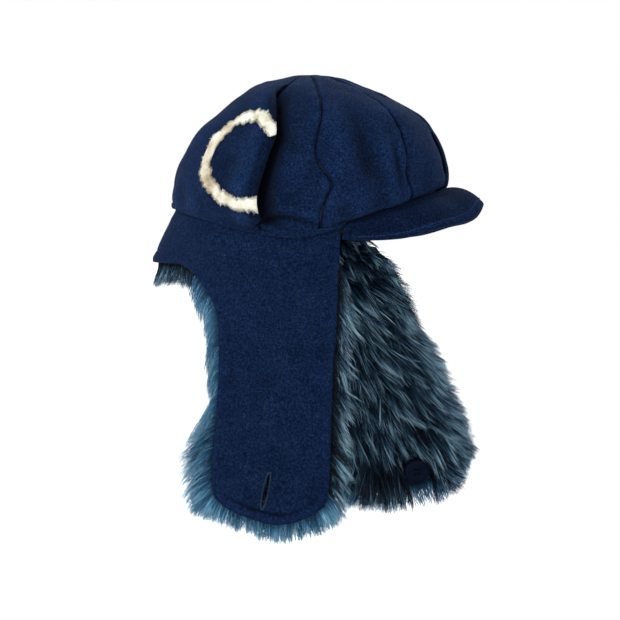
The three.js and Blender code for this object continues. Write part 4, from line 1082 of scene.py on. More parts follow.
def pile(name, root, normal, flow, length, lift, seed, mat, clump=9.0, fine=3.6, radius=0.30, curl=1.0, hold=None, gather=None, tone=0.0, droop=None, vary=1.0):
    """Strands of pile as closed tapered meshes. root, normal, flow: (n, 3); length, lift: (n,).
    Strands gather into tufts: their tips are drawn to the tuft's own middle strand."""
    from mathutils.kdtree import KDTree
    rng = np.random.default_rng(seed)
    n = len(root)
    def tufts(size):
        m = max(1, int(n / max(1.0, size)))
        c = rng.choice(n, m, replace=False)
        kd = KDTree(m)
        for k, i in enumerate(c):
            kd.insert(Vector(root[i]), k)
        kd.balance()
        own = np.fromiter((kd.find(Vector(p))[1] for p in root), int, n)
        return c[own], own, m
    big, big_id, nb = tufts(clump)
    small, small_id, ns = tufts(fine)
    L = length * rng.uniform(0.66, 1.12, n)
    down = np.array([0.0, 0.0, -1.0])
    curl = curl * np.ones(n)
    jb, js, ji = rng.normal(0, 1, (nb, 3)), rng.normal(0, 1, (ns, 3)), rng.normal(0, 1, (n, 3))
    side_v = unit(np.cross(normal, flow))
    def centre(idx, own_len, turn, up, wob, s, wave=0.035):
        f = unit(flow[idx] + side_v[idx] * turn[:, None])
        li = np.clip(lift[idx] * (1 + 0.45 * up), 0.02, 1.2)
        # rises from the root, then lies over along the flow
        h = li * (np.sin(np.minimum(1, s * 1.45) * math.pi / 2) - 0.25 * s * s)
        g = s ** 1.12 * np.sqrt(np.maximum(0.15, 1 - 0.4 * li))
        w = wave * curl[idx] * np.sin(s * (4.2 + wob[:, 0]) + wob[:, 1] * 2.0) * s
        if droop is not None:
            k = (0.62 * droop[idx] * s)[:, None]
            f = f * (1 - k) + down * k
        return root[idx] + own_len[:, None] * (normal[idx] * h[:, None] + f * g[:, None] + side_v[idx] * w[:, None])
    P = []
    kb, ks = rng.uniform(0.15, 0.75, nb)[big_id], rng.uniform(0.72, 0.98, ns)[small_id]
    Lb = (length[big] * (1 + 0.14 * jb[big_id, 2]))
    Ls = (length[small] * (1 + 0.17 * np.clip(js[small_id, 2], -2, 1.6)))
    for s in list(RINGS) + [1.0]:
        own = centre(np.arange(n), L, 0.20 * ji[:, 0], 0.5 * ji[:, 1], ji, s)
        gs = centre(small, Ls, 0.24 * js[small_id, 0], 0.6 * js[small_id, 1], js[small_id], s, 0.075)
        gb = centre(big, Lb, 0.32 * jb[big_id, 0], 0.7 * jb[big_id, 1], jb[big_id], s, 0.05)
        ds, db = root - root[small], root - root[big]
        a = own
        b = gs + ds * (1 - 0.84 * s ** 0.7)
        c = gb + db * (1 - 0.80 * s ** 0.8)
        ga = 1.0 if gather is None else gather
        ws, wb = (ks * (0.35 + 0.65 * ga) * s ** 0.5)[:, None], (kb * ga * 0.60 * s ** 0.85)[:, None]
        p = a * (1 - ws) + b * ws
        p = p * (1 - wb) + c * wb
        P.append(p)
    P = np.stack(P, 1)                                  # n, 5, 3
    if hold is not None:
        P = hold(P)
    T = unit(np.gradient(P, axis=1))
    A = unit(np.cross(T, normal[:, None, :] + 0.01))
    B = np.cross(T, A)
    r0 = radius * rng.uniform(0.65, 1.4, n)
    prof = np.array([0.95, 1.0, 0.82, 0.52])
    ang = np.array([math.pi / 2, math.pi * 7 / 6, math.pi * 11 / 6])
    spin = rng.uniform(0, 2 * math.pi, n)
    ca = np.cos(ang[None, :] + spin[:, None])[:, None, :, None]
    sa = np.sin(ang[None, :] + spin[:, None])[:, None, :, None]
    ringv = P[:, :4, None, :] + (r0[:, None] * prof[None, :])[:, :, None, None] * (ca * A[:, :4, None, :] + sa * B[:, :4, None, :])
    V = np.concatenate([ringv.reshape(n, 12, 3), P[:, 4:5]], 1)      # 13 points a strand
    tri, uvv = [], []
    vv = np.r_[np.repeat(RINGS, 3), 1.0]
    for j in range(3):
        for k in range(3):
            a, b = j * 3 + k, j * 3 + (k + 1) % 3
            tri += [(a, b, b + 3), (a, b + 3, a + 3)]
    for k in range(3):
        tri.append((9 + k, 9 + (k + 1) % 3, 12))
    tri.append((2, 1, 0))
    tri = np.array(tri)
    # check which way round they face
    c = V[0, :12].mean(0)
    nrm = np.cross(V[0, tri[0, 1]] - V[0, tri[0, 0]], V[0, tri[0, 2]] - V[0, tri[0, 0]])
    mid = V[0, tri[0]].mean(0)
    ring_c = P[0, 0] * 0.5 + P[0, 1] * 0.5
    if np.dot(nrm, mid - ring_c) < 0:
        tri = tri[:, ::-1]
    F = (tri[None] + 13 * np.arange(n)[:, None, None]).reshape(-1, 3)
    ob = mesh_object(name, V.reshape(-1, 3), F, mat)
    # the pile's own map: U is the strand's shade, V runs from root to tip
    me = ob.data
    odd = rng.uniform(0, 1, n)       # some hairs stay dark, some are pale guard hairs
    shade = np.clip(0.33 + tone + vary * (0.09 * jb[big_id, 1] + 0.20 * js[small_id, 1] + 0.14 * ji[:, 2] + 0.34 * (odd > 0.90) - 0.36 * (odd < 0.22)), 0.0, 0.999)
    shade = (np.floor(shade * 64) + 0.5) / 64
    layer = me.uv_layers.new(name="OFBake")
    loop_v = np.zeros(len(me.loops), np.int32)
    me.loops.foreach_get("vertex_index", loop_v)
    uv = np.stack([shade[loop_v // 13] + 0.004 * (loop_v % 3 - 1), 0.01 + 0.98 * vv[loop_v % 13]], -1)
    layer.data.foreach_set("uv", uv.ravel().astype(np.float32))
    ob["roots"] = 13
    return ob, P

def jitter_grid(n_target, area_w, area_h, rng):
    nx = max(2, int(round(math.sqrt(n_target * area_w / area_h))))
    ny = max(2, int(round(n_target / nx)))
    gx, gy = np.meshgrid(np.arange(nx), np.arange(ny))
    u = (gx + rng.uniform(0, 1, gx.shape)) / nx
    v = (gy + rng.uniform(0, 1, gy.shape)) / ny
    return u.ravel(), v.ravel()

K = 1.0
PILE_WEIGHTS = {}

# ---- right flap: pile on its inner side, standing out past the cloth's rear, lower and front edges
def right_pile():
    rng = np.random.default_rng(501)
    ob = backing("right_flap_pile_base", -1, R_PATCH, 0.02, 0.985, 0.045, 0.985, 3.0, 5.5, 171, slot_cutter(12.0, 0.25, -120, -50))
    blended(ob, "right_flap", weights_flap(coords(ob)), ["right_flap_fur"])
    E = R_PATCH.edges
    out = []
    for part in ("inner", "edge"):
        if part == "inner":
            u, v = jitter_grid(8800 * K, 100, 210, rng)
            v = 0.05 + 0.925 * v
            u = 0.03 + 0.945 * u
        else:
            n1_, n2_, n3_ = int(5200 * K), int(2600 * K), int(2700 * K)
            e1, e2 = rng.uniform(0, 1, n1_), rng.uniform(0, 1, n2_)
            u = np.r_[0.012 + 0.12 * e1 ** 1.4, 0.988 - 0.07 * e2 ** 1.4, 0.03 + 0.94 * rng.uniform(0, 1, n3_)]
            v = np.r_[0.10 + 0.885 * rng.uniform(0, 1, n1_), 0.10 + 0.885 * rng.uniform(0, 1, n2_), 0.988 - 0.065 * rng.uniform(0, 1, n3_) ** 1.3]
        xz = R_PATCH(u, v)
        p, q = slot_local(xz[:, 0], xz[:, 1])
        keep = (p / 2.4) ** 2 + (q / 14.5) ** 2 > 1
        u, v, xz = u[keep], v[keep], xz[keep]
        x, z = xz[:, 0], xz[:, 1]
        d_rear, d_front, d_bot = (edge_distance(xz, [E[k]]) for k in (1, 3, 2))
        d_any = np.minimum(np.minimum(d_rear, d_front), d_bot)
        inner = 4.6 + 1.6 * smooth(d_any, 2, 14)
        root = flap_at(-1, x, z, inner)
        nrm = np.stack([0 * x, 0 * x + 1.0, 0 * x], -1)
        big = fbm(root, 46, 181, 2)
        # how far the rear edge's pile splays out, by height
        rear_k = np.interp(-z, [15, 30, 52, 66, 96, 108, 116, 126, 140, 175, 195, 215], [0.2, 0.50, 1.05, 1.25, 1.20, 0.85, 0.45, 1.0, 1.65, 1.55, 1.05, 0.55])
        droop = np.interp(-z, [15, 50, 110, 124, 150, 200], [0.6, 1.0, 1.0, 0.75, 0.45, 0.25]) * np.exp(-d_rear / 14.0)
        splay_r = rear_k * np.exp(-d_rear / 13.0) * (1 + 0.25 * noise(root, 17, 183))
        splay_f = (0.58 + 0.25 * smooth(-z, 150, 200)) * np.exp(-d_front / 10.0) * (1 + 0.45 * noise(root, 11, 184)) * smooth(-z, 0, 40)
        flow = unit(np.stack([0.03 - splay_r * 1.1 + splay_f + 0.10 * big, 0.0 * x, -0.95 + 0.35 * np.exp(-d_rear / 12.0) * droop], -1))
        ln = 31 + 3.5 * noise(root, 21, 185)
        ln = np.where(d_rear < 16, lerp(ln, np.interp(-z, [15, 40, 66, 96, 110, 122, 136, 155, 185, 200, 220], [20, 28, 32, 32, 30, 26, 44, 54, 47, 34, 22]), np.exp(-d_rear / 10)), ln)
        ln = np.where(d_front < 12, lerp(ln, 31, np.exp(-d_front / 8)), ln)
        ln = ln * lerp(1.0, 0.66, np.exp(-d_bot / 12) * smooth(-z, 195, 215))
        lift = 0.30 + 0.06 * noise(root, 13, 186) - 0.16 * np.exp(-np.minimum(d_rear, d_front) / 7) - 0.12 * np.exp(-d_bot / 12)
        # the outermost strands turn back round the cloth's edge a little
        edge_turn = np.exp(-d_any / 4.0)
        flow = unit(flow + np.stack([0 * x, -0.12 * edge_turn * rng.uniform(-0.3, 1, len(x)), 0 * x], -1))
        gather = 1 - 0.70 * np.exp(-np.minimum(d_rear, d_bot) / 9.0)
        # painted light: the pile is lighter near the rear, front and lower edges; the big-noise term is its own uneven
        # tone
        tone = 0.14 * np.exp(-d_rear / 10) * smooth(-z, 30, 50) * (1 - 0.6 * smooth(-z, 165, 200)) + 0.12 * np.exp(-d_front / 8) + 0.04 * np.exp(-d_bot / 10) + 0.06 * big
        rim = (part == "edge") & ((d_front > 9) | (d_bot < 13))
        front = (part == "edge") & ~rim
        for sub, sel in (("", ~(rim | front)), ("_rim", rim), ("_front", front)):
            if not sel.any():
                continue
            ob, P = pile(f"right_flap_pile_{part}{sub}", root[sel], nrm[sel], flow[sel], ln[sel], lift[sel], 502 + (part == "edge") + 3 * len(sub), {"": FUR, "_rim": FUR_PAINTED_BACKLIGHT, "_front": FUR_PAINTED_LIT_FRONT}[sub], clump=36, fine=7, gather=gather[sel], tone=tone[sel] + (0.09 if part == "inner" else 0.0), droop=droop[sel], radius=0.27, vary=1.45 if sub == "_front" else 1.0)
            blended(ob, "right_flap", np.repeat(weights_flap(root[sel]), 13), ["right_flap_fur"])
            out.append(ob)
    # a few hairs of the pile show in the buttonhole
    n = int(70 * max(K, 0.3))
    qq = rng.uniform(-10.5, 13.0, n)
    w = 1.7 * np.sqrt(np.maximum(0, 1 - (qq / 14) ** 2))
    x, z = slot_xz(rng.choice([-1, 1], n) * w * rng.uniform(0.55, 1.1, n), qq)
    root = flap_at(-1, x, z, 3.4)
    nrm = np.stack([0 * x, 0 * x - 1.0, 0 * x], -1)
    fx, fz = -math.sin(SLOT_A), math.cos(SLOT_A)
    flow = unit(np.stack([-fx + 0.12 * rng.normal(0, 1, n), 0 * x, -fz + 0 * x], -1))
    ob, P = pile("buttonhole_hairs", root, nrm, flow, rng.uniform(5, 9, n), np.full(n, 0.20), 509, FUR, clump=8, fine=3, radius=0.22, gather=np.full(n, 0.4), tone=0.05)
    blended(ob, "right_flap", np.repeat(weights_flap(root), 13), [])
    return out

BTN = np.array([87.0, -199.0])
def clear_button(P):
    """Strands that would lie over the button end at its rim."""
    S = np.array(list(RINGS) + [1.0])
    def at(Q, s):
        j = np.clip(np.searchsorted(S, s, side="right") - 1, 0, 3)
        f = ((s - S[j]) / (S[j + 1] - S[j]))[..., None]
        return np.take_along_axis(Q, j[..., None], 1) * (1 - f) + np.take_along_axis(Q, (j + 1)[..., None], 1) * f
    fine = np.linspace(0, 1, 41)
    F = at(P, np.ones((len(P), 1)) * fine)
    r = np.hypot(F[..., 0] - BTN[0], F[..., 2] - BTN[1])
    over = (r < 10.8 + 0.5 * np.sin(P[:, :1, 0] * 7.0)) & (F[..., 1] < 80.4)
    first = np.where(over.any(1), np.maximum(fine[over.argmax(1)] - 0.03, 0.10), 1.0)
    return at(P, S[None] * first[:, None])

def left_pile():
    rng = np.random.default_rng(601)
    ob = backing("left_flap_pile_base", 1, L_PATCH, 0.02, 0.985, 0.05, 0.985, 3.0, 5.5, 191, None, (BTN[0], BTN[1], 12.5))
    blended(ob, "left_flap", weights_flap(coords(ob)), ["left_flap_fur"])
    out = []
    for part, (va, vb_, cnt) in enumerate(((0.006, 0.36, 8200), (0.36, 0.70, 8200), (0.70, 0.985, 8600))):
        u, v = jitter_grid((cnt - 1500) * K, 100, 105, rng)
        v = lerp(va, vb_, v)
        u = 0.025 + 0.955 * u
        e = rng.uniform(0, 1, int(2300 * K))
        vr = lerp(max(va, 0.012), vb_, rng.uniform(0, 1, len(e)))
        ur = np.where(rng.uniform(0, 1, len(e)) < 0.55, 0.015 + 0.08 * e ** 1.5, 0.985 - 0.08 * e ** 1.5)
        u, v = np.r_[u, ur], np.r_[v, vr]
        if part == 2:
            ub = 0.03 + 0.94 * rng.uniform(0, 1, int(1500 * K))
            u = np.r_[u, ub]
            v = np.r_[v, 0.985 - 0.05 * rng.uniform(0, 1, len(ub)) ** 1.3]
        xz = L_PATCH(u, v)
        r = np.hypot(xz[:, 0] - BTN[0], xz[:, 1] - BTN[1])
        keep = r > 5.0
        u, v, xz, r = u[keep], v[keep], xz[keep], r[keep]
        x, z = xz[:, 0], xz[:, 1]
        E = L_PATCH.edges
        d_rear, d_front, d_bot = (edge_distance(xz, [E[k]]) for k in (1, 3, 2))
        inner = 4.6 + 1.6 * smooth(np.minimum(np.minimum(d_rear, d_front), d_bot), 2, 14)
        root = flap_at(1, x, z, inner)
        nrm = np.stack([0 * x, 0 * x - 1.0, 0 * x], -1)
        big = fbm(root, 44, 201, 2)
        lean = 0.40 + 0.42 * smooth(u, 0.25, 0.85) * (1 - 0.5 * smooth(v, 0.78, 0.97))
        f0 = np.stack([lean + 0.30 * big + 0.26 * noise(root, 17, 203), 0 * x, -0.9 + 0.10 * big], -1)
        topk = 1 - smooth(v, 0.06, 0.22)
        out_f = np.stack([0.75 + 0 * x, 0 * x, -0.42 + 0 * x], -1) * ((0.36 + 0.55 * topk + 0.30 * smooth(v, 0.72, 0.9)) * np.exp(-d_front / 13.0) * (1 + 0.4 * noise(root, 15, 204)))[:, None]
        out_r = np.stack([-0.9 + 0 * x, 0 * x, -0.2 + 0 * x], -1) * ((0.50 + 0.75 * smooth(v, 0.6, 0.9)) * np.exp(-d_rear / 13.0) * (1 + 0.3 * noise(root, 15, 205)))[:, None]
        out_b = np.stack([0 * x - 0.15, 0 * x, -0.8 + 0 * x], -1) * (0.5 * np.exp(-d_bot / 10.0))[:, None]
        flow = unit(f0 + out_f + out_r + out_b)
        ln = 43 + 6 * noise(root, 20, 206) - 14 * topk
        ln = lerp(ln, 24.0 + 0 * x, np.exp(-d_front / 11))
        ln = lerp(ln, 18.0 - 7.0 * smooth(x, 70, 112), 0.88 * np.exp(-d_bot / 13))
        lift = 0.31 + 0.08 * noise(root, 12, 207) - 0.14 * np.exp(-np.minimum(d_rear, d_front) / 7) - 0.10 * np.exp(-d_bot / 10)
        # the pile parts above the button and stops at its rim
        fl = flow
        bx, bz = BTN[0] - x, BTN[1] - z
        ahead = bx * fl[:, 0] + bz * fl[:, 2]
        beside = np.abs(bx * fl[:, 2] - bz * fl[:, 0])
        hit = (ahead > -1) & (ahead < ln + 11) & (beside < 12.5)
        ln = np.where(hit, np.clip(np.minimum(ln, ahead - 7.0 + 2.5 * rng.uniform(-1, 1, len(ln))), 4.0, None), ln)
        lift = np.where(hit, np.minimum(lift, 0.22), lift)
        below = (~hit) & (r < 15)
        lift = np.where(below, 0.07, lift)
        edge_turn = np.exp(-np.minimum(np.minimum(d_rear, d_front), d_bot) / 4.0)
        flow = unit(flow + np.stack([0 * x, 0.10 * edge_turn * rng.uniform(-0.3, 1, len(x)), 0 * x], -1))
        d_any = np.minimum(np.minimum(d_rear, d_front), d_bot)
        gather = 1 - 0.60 * np.exp(-d_any / 9.0)
        # painted light near the front and lower edges; painted shade over the lower part, across the middle and in a
        # dark patch low on the flap; the big-noise term is the pile's own uneven tone
        tone = 0.16 * np.exp(-d_front / 16) + 0.05 * np.exp(-d_bot / 10) - 0.02 - 0.16 * smooth(v, 0.62, 0.85) * (1 - np.exp(-d_front / 22)) + 0.14 * big - 0.36 * bump(x - 44, 17) * bump(z + 183, 13) - 0.12 * bump(x - 52, 26) * bump(z + 135, 40)
        rim = (d_bot < 8) | (d_rear < 6)
        for sub, sel in (("", ~rim), ("_rim", rim)):
            ob, P = pile(f"left_flap_pile_{('upper', 'middle', 'lower')[part]}{sub}", root[sel], nrm[sel], flow[sel], ln[sel], lift[sel], 602 + part + 5 * len(sub), FUR_PAINTED_BACKLIGHT if sub else FUR, clump=60, fine=8, gather=gather[sel] * (0.5 if sub else 1.0), tone=tone[sel] - (0.10 if sub else 0.0), curl=(1.0 + 2.2 * topk)[sel], radius=0.25, hold=clear_button)
            blended(ob, "left_flap", np.repeat(weights_flap(root[sel]), 13), ["left_flap_fur"])
            out.append(ob)
    return out

def neck_pile(side, nm, seed):
    rng = np.random.default_rng(seed)
    nu, nv = 50, 20
    u, v = np.meshgrid(np.linspace(0, 1, nu + 1), np.linspace(0.16, 0.93, nv + 1))
    A, n, _ = neck_frame(side, u, v, 3.0)
    B, _, _ = neck_frame(side, u, v, 3.0)
    k = smooth(np.minimum(v - 0.16, 0.93 - v), 0, 0.08)
    B = B - n * (1.0 + 3.6 * k)[..., None]
    for M in (A, B):
        M[:, 0, 0] = SPLIT - 0.15
        M[..., 1] = side * np.maximum(0.02, side * M[..., 1])
    vv, ff = shell(A, B)
    ob = mesh_object(f"neck_pile_base_{nm}", vv, ff, UNDERCOAT)
    U, W = np.concatenate([u.ravel()] * 2), np.concatenate([v.ravel()] * 2)
    blended(ob, "neck", weights_neck(U, W, vv), [f"neck_fur_{nm}"])
    ru, rv = jitter_grid(3500 * K, 125, 40, rng)
    e = rng.uniform(0, 1, int(2600 * K))
    ru = np.r_[ru, e]
    rv = np.r_[0.18 + 0.72 * rv, 0.93 - 0.16 * rng.uniform(0, 1, len(e))]
    P, n, dn = neck_frame(side, ru, rv, 4.4)
    nrm = -n
    tang = unit(np.cross(n, dn))
    big = fbm(P, 30, seed + 1, 2)
    flow = unit(dn + tang * (0.22 * big)[:, None] + n * (0.10 * smooth(rv, 0.7, 0.95))[:, None] + np.array([0.34, 0, 0]) * (smooth(rv, 0.5, 0.95) * smooth(ru, 0.45, 0.9))[:, None])
    ln = 24 + 3 * noise(P, 16, seed + 2)
    lift = 0.30 - 0.16 * smooth(rv, 0.6, 0.95)
    ob, _ = pile(f"neck_pile_{nm}", P, nrm, flow, ln, lift, seed + 5, FUR, clump=30, fine=5, gather=1 - 0.8 * smooth(rv, 0.6, 0.9), tone=0.12 + 0 * rv, vary=0.75)
    blended(ob, "neck", np.repeat(weights_neck(ru, rv, P), 13), [f"neck_fur_{nm}"])
    return ob

PILES = right_pile() + left_pile() + [neck_pile(-1, "right", 701), neck_pile(1, "left", 751)]

# ------------------------------------------------------------------ frayed cream ring on the right rear panel
def cream_material():
    m, nt, b = new_material("cotton_cream_frayed")
    co = nt.nodes.new("ShaderNodeTexCoord")
    big = node(nt, "ShaderNodeTexNoise", Scale=85.0, Detail=3.0)
    fine = node(nt, "ShaderNodeTexNoise", Scale=1500.0, Detail=4.0, Roughness=0.7)
    for n in (big, fine):
        nt.links.new(co.outputs["Object"], n.inputs["Vector"])
    s = node(nt, "ShaderNodeMath", operation="MULTIPLY_ADD")
    nt.links.new(fine.outputs["Fac"], s.inputs[0]); s.inputs[1].default_value = 0.45
    h = node(nt, "ShaderNodeMath", operation="MULTIPLY")
    nt.links.new(big.outputs["Fac"], h.inputs[0]); h.inputs[1].default_value = 0.62
    nt.links.new(h.outputs[0], s.inputs[2])
    r = ramp(nt, [(0.34, (0.16, 0.125, 0.075)), (0.46, (0.30, 0.265, 0.185)), (0.57, (0.43, 0.42, 0.345)), (0.72, (0.56, 0.57, 0.52))])
    # darker and tanner towards the back of the hat
    sp = nt.nodes.new("ShaderNodeSeparateXYZ")
    nt.links.new(co.outputs["Object"], sp.inputs[0])
    mr = node(nt, "ShaderNodeMapRange")
    mr.inputs["From Min"].default_value = -0.040
    mr.inputs["From Max"].default_value = -0.078
    mr.inputs["To Min"].default_value = 0.06
    mr.inputs["To Max"].default_value = -0.085
    nt.links.new(sp.outputs["X"], mr.inputs["Value"])
    rearward_tone = node(nt, "ShaderNodeMath", operation="ADD")
    nt.links.new(s.outputs[0], rearward_tone.inputs[0]); nt.links.new(mr.outputs[0], rearward_tone.inputs[1])
    nt.links.new(rearward_tone.outputs[0], r.inputs["Fac"])
    nt.links.new(r.outputs["Color"], b.inputs["Base Color"])
    bm = node(nt, "ShaderNodeBump", Strength=0.6, Distance=0.0008)
    nt.links.new(s.outputs[0], bm.inputs["Height"])
    nt.links.new(bm.outputs["Normal"], b.inputs["Normal"])
    b.inputs["Roughness"].default_value = 0.95
    b.inputs["Specular IOR Level"].default_value = 0.15
    b.inputs["Sheen Weight"].default_value = 0.2
    return m
CREAM = cream_material()

def ring_applique():
    from mathutils.bvhtree import BVHTree
    O, phi_deg, t = CROWN[("R", 3)]
    # the panel's visible face as a lookup from (angle, way up) to the point and its normal
    N = grid_normals(O, np.array([CX, 0, 40.0]))
    # centreline of the ring, as angle from the front on the right and share of the way up
    line = np.array(RING_LINE)
    m = 220
    tt = np.linspace(0, 1, len(line))
    s = np.linspace(0, 1, m)
    C = catmull(line[:, :2], 30)
    W = np.interp(s, np.linspace(0, 1, len(line)), line[:, 2])
    c = np.stack([np.interp(s, C[0], C[1][:, 0]), np.interp(s, C[0], C[1][:, 1])], -1)
    rho = 88.0
    # work in mm: a across, b up
    ab = np.stack([np.radians(c[:, 0]) * rho, c[:, 1] * PROFILE_LEN], -1)
    T = unit(np.gradient(ab, axis=0))
    Nn = np.stack([-T[:, 1], T[:, 0]], -1)
    rng = np.random.default_rng(811)
    q = np.stack([s * 220, 0 * s, 0 * s], -1)
    calm_end = smooth(s, 0, 0.06) * (0.35 + 0.65 * smooth(1 - s, 0, 0.06))
    wo = W / 2 + calm_end * (1.4 * noise(q, 8, 812) + 1.3 * noise(q, 3.0, 813))
    wi = W / 2 + calm_end * (1.4 * noise(q, 8, 814) + 1.3 * noise(q, 3.0, 815))
    k = 9
    lat = np.linspace(-1, 1, k)
    AB = ab[:, None, :] + Nn[:, None, :] * (np.where(lat > 0, wo[:, None] * lat, wi[:, None] * lat))[..., None]
    def surf(AB):
        ph = np.degrees(AB[..., 0] / rho)
        up = AB[..., 1] / PROFILE_LEN
        # bilinear search on the panel's grid: rows by t, then columns by angle
        r = np.interp(up, t[:, 0], np.arange(len(t)))
        r0 = np.clip(np.floor(r).astype(int), 0, len(t) - 2)
        fr = r - r0
        out, outn = [], []
        flat_ph, flat_r0, flat_fr = ph.ravel(), r0.ravel(), fr.ravel()
        for p_, a_, f_ in zip(flat_ph, flat_r0, flat_fr):
            vals, ns = [], []
            for row in (a_, a_ + 1):
                c0 = int(np.argmin(phi_deg[row, :20])) + 1      # the fold's front edge
                xs = phi_deg[row, c0:]
                j = np.interp(p_, xs, np.arange(len(xs)))
                j0 = min(int(j), len(xs) - 2)
                g_ = j - j0
                base = O[row, c0:]
                bn = N[row, c0:]
                vals.append(base[j0] * (1 - g_) + base[j0 + 1] * g_)
                ns.append(bn[j0] * (1 - g_) + bn[j0 + 1] * g_)
            out.append(vals[0] * (1 - f_) + vals[1] * f_)
            outn.append(ns[0] * (1 - f_) + ns[1] * f_)
        return np.array(out).reshape(AB.shape[:-1] + (3,)), unit(np.array(outn).reshape(AB.shape[:-1] + (3,)))
    S, n = surf(AB)
    hump = (0.35 + 1.15 * (1 - lat ** 2) ** 0.5)[None, :] + 0.25 * noise(S, 4, 816)
    Otop, Obot = S + n * (hump + 0.35)[..., None], S + n * 0.30
    vv, ff = shell(Otop, Obot)
    g = Gather()
    g.add(vv, ff)
    # short loose fibres along both edges and over the face
    cnt = 3600
    i = rng.integers(2, m - 2, cnt)
    la = rng.choice([-1, 1], cnt) * rng.uniform(0.55, 1.0, cnt) ** 0.6
    base = ab[i] + Nn[i] * np.where(la > 0, wo[i] * la, wi[i] * la)[:, None]
    d2 = Nn[i] * np.sign(la)[:, None] * rng.uniform(0.3, 1.0, cnt)[:, None] + T[i] * rng.uniform(-0.9, 0.9, cnt)[:, None]
    end = base + unit(d2) * rng.uniform(0.8, 2.6, cnt)[:, None]
    SB, nb_ = surf(base)
    SE, ne = surf(end)
    for k2 in range(cnt):
        p0 = SB[k2] + nb_[k2] * 0.7
        p2 = SE[k2] + ne[k2] * rng.uniform(0.3, 1.5)
        p1 = (p0 + p2) / 2 + nb_[k2] * rng.uniform(0.2, 0.7)
        d = unit(p2 - p0)
        a_ = unit(np.cross(d, nb_[k2] + 0.01))
        b_ = np.cross(d, a_)
        r = rng.uniform(0.10, 0.20)
        tri_pts = [p0 + r * a_, p0 - r * 0.5 * a_ + r * 0.87 * b_, p0 - r * 0.5 * a_ - r * 0.87 * b_,
                   p1 + r * a_, p1 - r * 0.5 * a_ + r * 0.87 * b_, p1 - r * 0.5 * a_ - r * 0.87 * b_, p2]
        g.add(np.array(tri_pts), np.array([(0, 2, 1), (0, 1, 4), (0, 4, 3), (1, 2, 5), (1, 5, 4), (2, 0, 3), (2, 3, 5), (3, 4, 6), (4, 5, 6), (5, 3, 6)]))
    ob = g.object("ring_applique_cotton", CREAM)
    place(ob, "hat", ["ring_applique"])

RING_LINE = [(101.2, 0.420, 8.4), (104.5, 0.452, 8.4), (109.2, 0.480, 8.4), (115.3, 0.496, 8.4), (121.5, 0.494, 8.4), (127.8, 0.468, 8.4), (132.6, 0.425, 8.4), (135.6, 0.375, 8.4), (136.9, 0.320, 8.4), (136.8, 0.262, 8.4), (135.0, 0.210, 8.4), (131.2, 0.167, 8.4), (126.0, 0.135, 8.4), (120.0, 0.117, 8.4), (114.0, 0.114, 8.4), (108.8, 0.122, 8.4), (103.8, 0.136, 8.4)]      # a plain ring of one width: the mark in the photograph may be a letter, so its outline is not copied
ring_applique()

# ------------------------------------------------------------------ buttonhole: worked thread edging round the slot
def buttonhole():
    g = Gather()
    rng = np.random.default_rng(821)
    O, I, gu, gv = FLAP_GRID[-1]
    from mathutils.bvhtree import BVHTree
    nv, nu = O.shape[0] - 1, O.shape[1] - 1
    tree = BVHTree.FromPolygons([tuple(p) for p in O.reshape(-1, 3)], [tuple(int(x) for x in f) for f in grid_faces(nu, nv)])
    def face_y(x, z):
        hit = tree.ray_cast(Vector((x, -200, z)), Vector((0, 1, 0)))
        return hit[0].y if hit[0] is not None else -86.0
    n = 86
    p, q = lens(14.3, 1.8, n)
    po, qo = lens(15.5, 2.9, n)
    for k in range(n):
        a = rng.uniform(-0.12, 0.12)
        x0, z0 = slot_xz(p[k] * 0.9, q[k])
        x1, z1 = slot_xz(po[k] + a * 2, qo[k] + a)
        xm, zm = slot_xz((p[k] + po[k]) / 2, (q[k] + qo[k]) / 2)
        ym = face_y(xm, zm)
        y1 = face_y(x1, z1)
        pts = np.array([(x0, ym + 2.6, z0), (x0, ym + 0.6, z0), (lerp(x0, xm, .4), ym - 0.45, lerp(z0, zm, .4)), (xm, ym - 0.6, zm), (lerp(xm, x1, .7), y1 - 0.35, lerp(zm, z1, .7)), (x1, y1 + 0.5, z1)])
        pts = catmull(pts, 3)[1]
        tv, tf = tube(pts, 0.33 + 0.05 * rng.uniform(-1, 1), 6)
        g.add(tv, tf)
    place(g.object("buttonhole_thread", THREAD_PALE), "right_flap", ["buttonhole_stitching"])
buttonhole()

# ------------------------------------------------------------------ button and its thread
def lathe(profile, n=72):
    k = len(profile)
    a = np.arange(n) * 2 * math.pi / n
    V = np.stack([np.outer(np.cos(a), profile[:, 0]), np.outer(np.ones(n), profile[:, 1]), np.outer(np.sin(a), profile[:, 0])], -1).reshape(-1, 3)
    i, j = np.meshgrid(np.arange(n), np.arange(k - 1), indexing="ij")
    i2 = (i + 1) % n
    F = np.stack([i * k + j, i2 * k + j, i2 * k + j + 1, i * k + j + 1], -1).reshape(-1, 4)
    return V, F

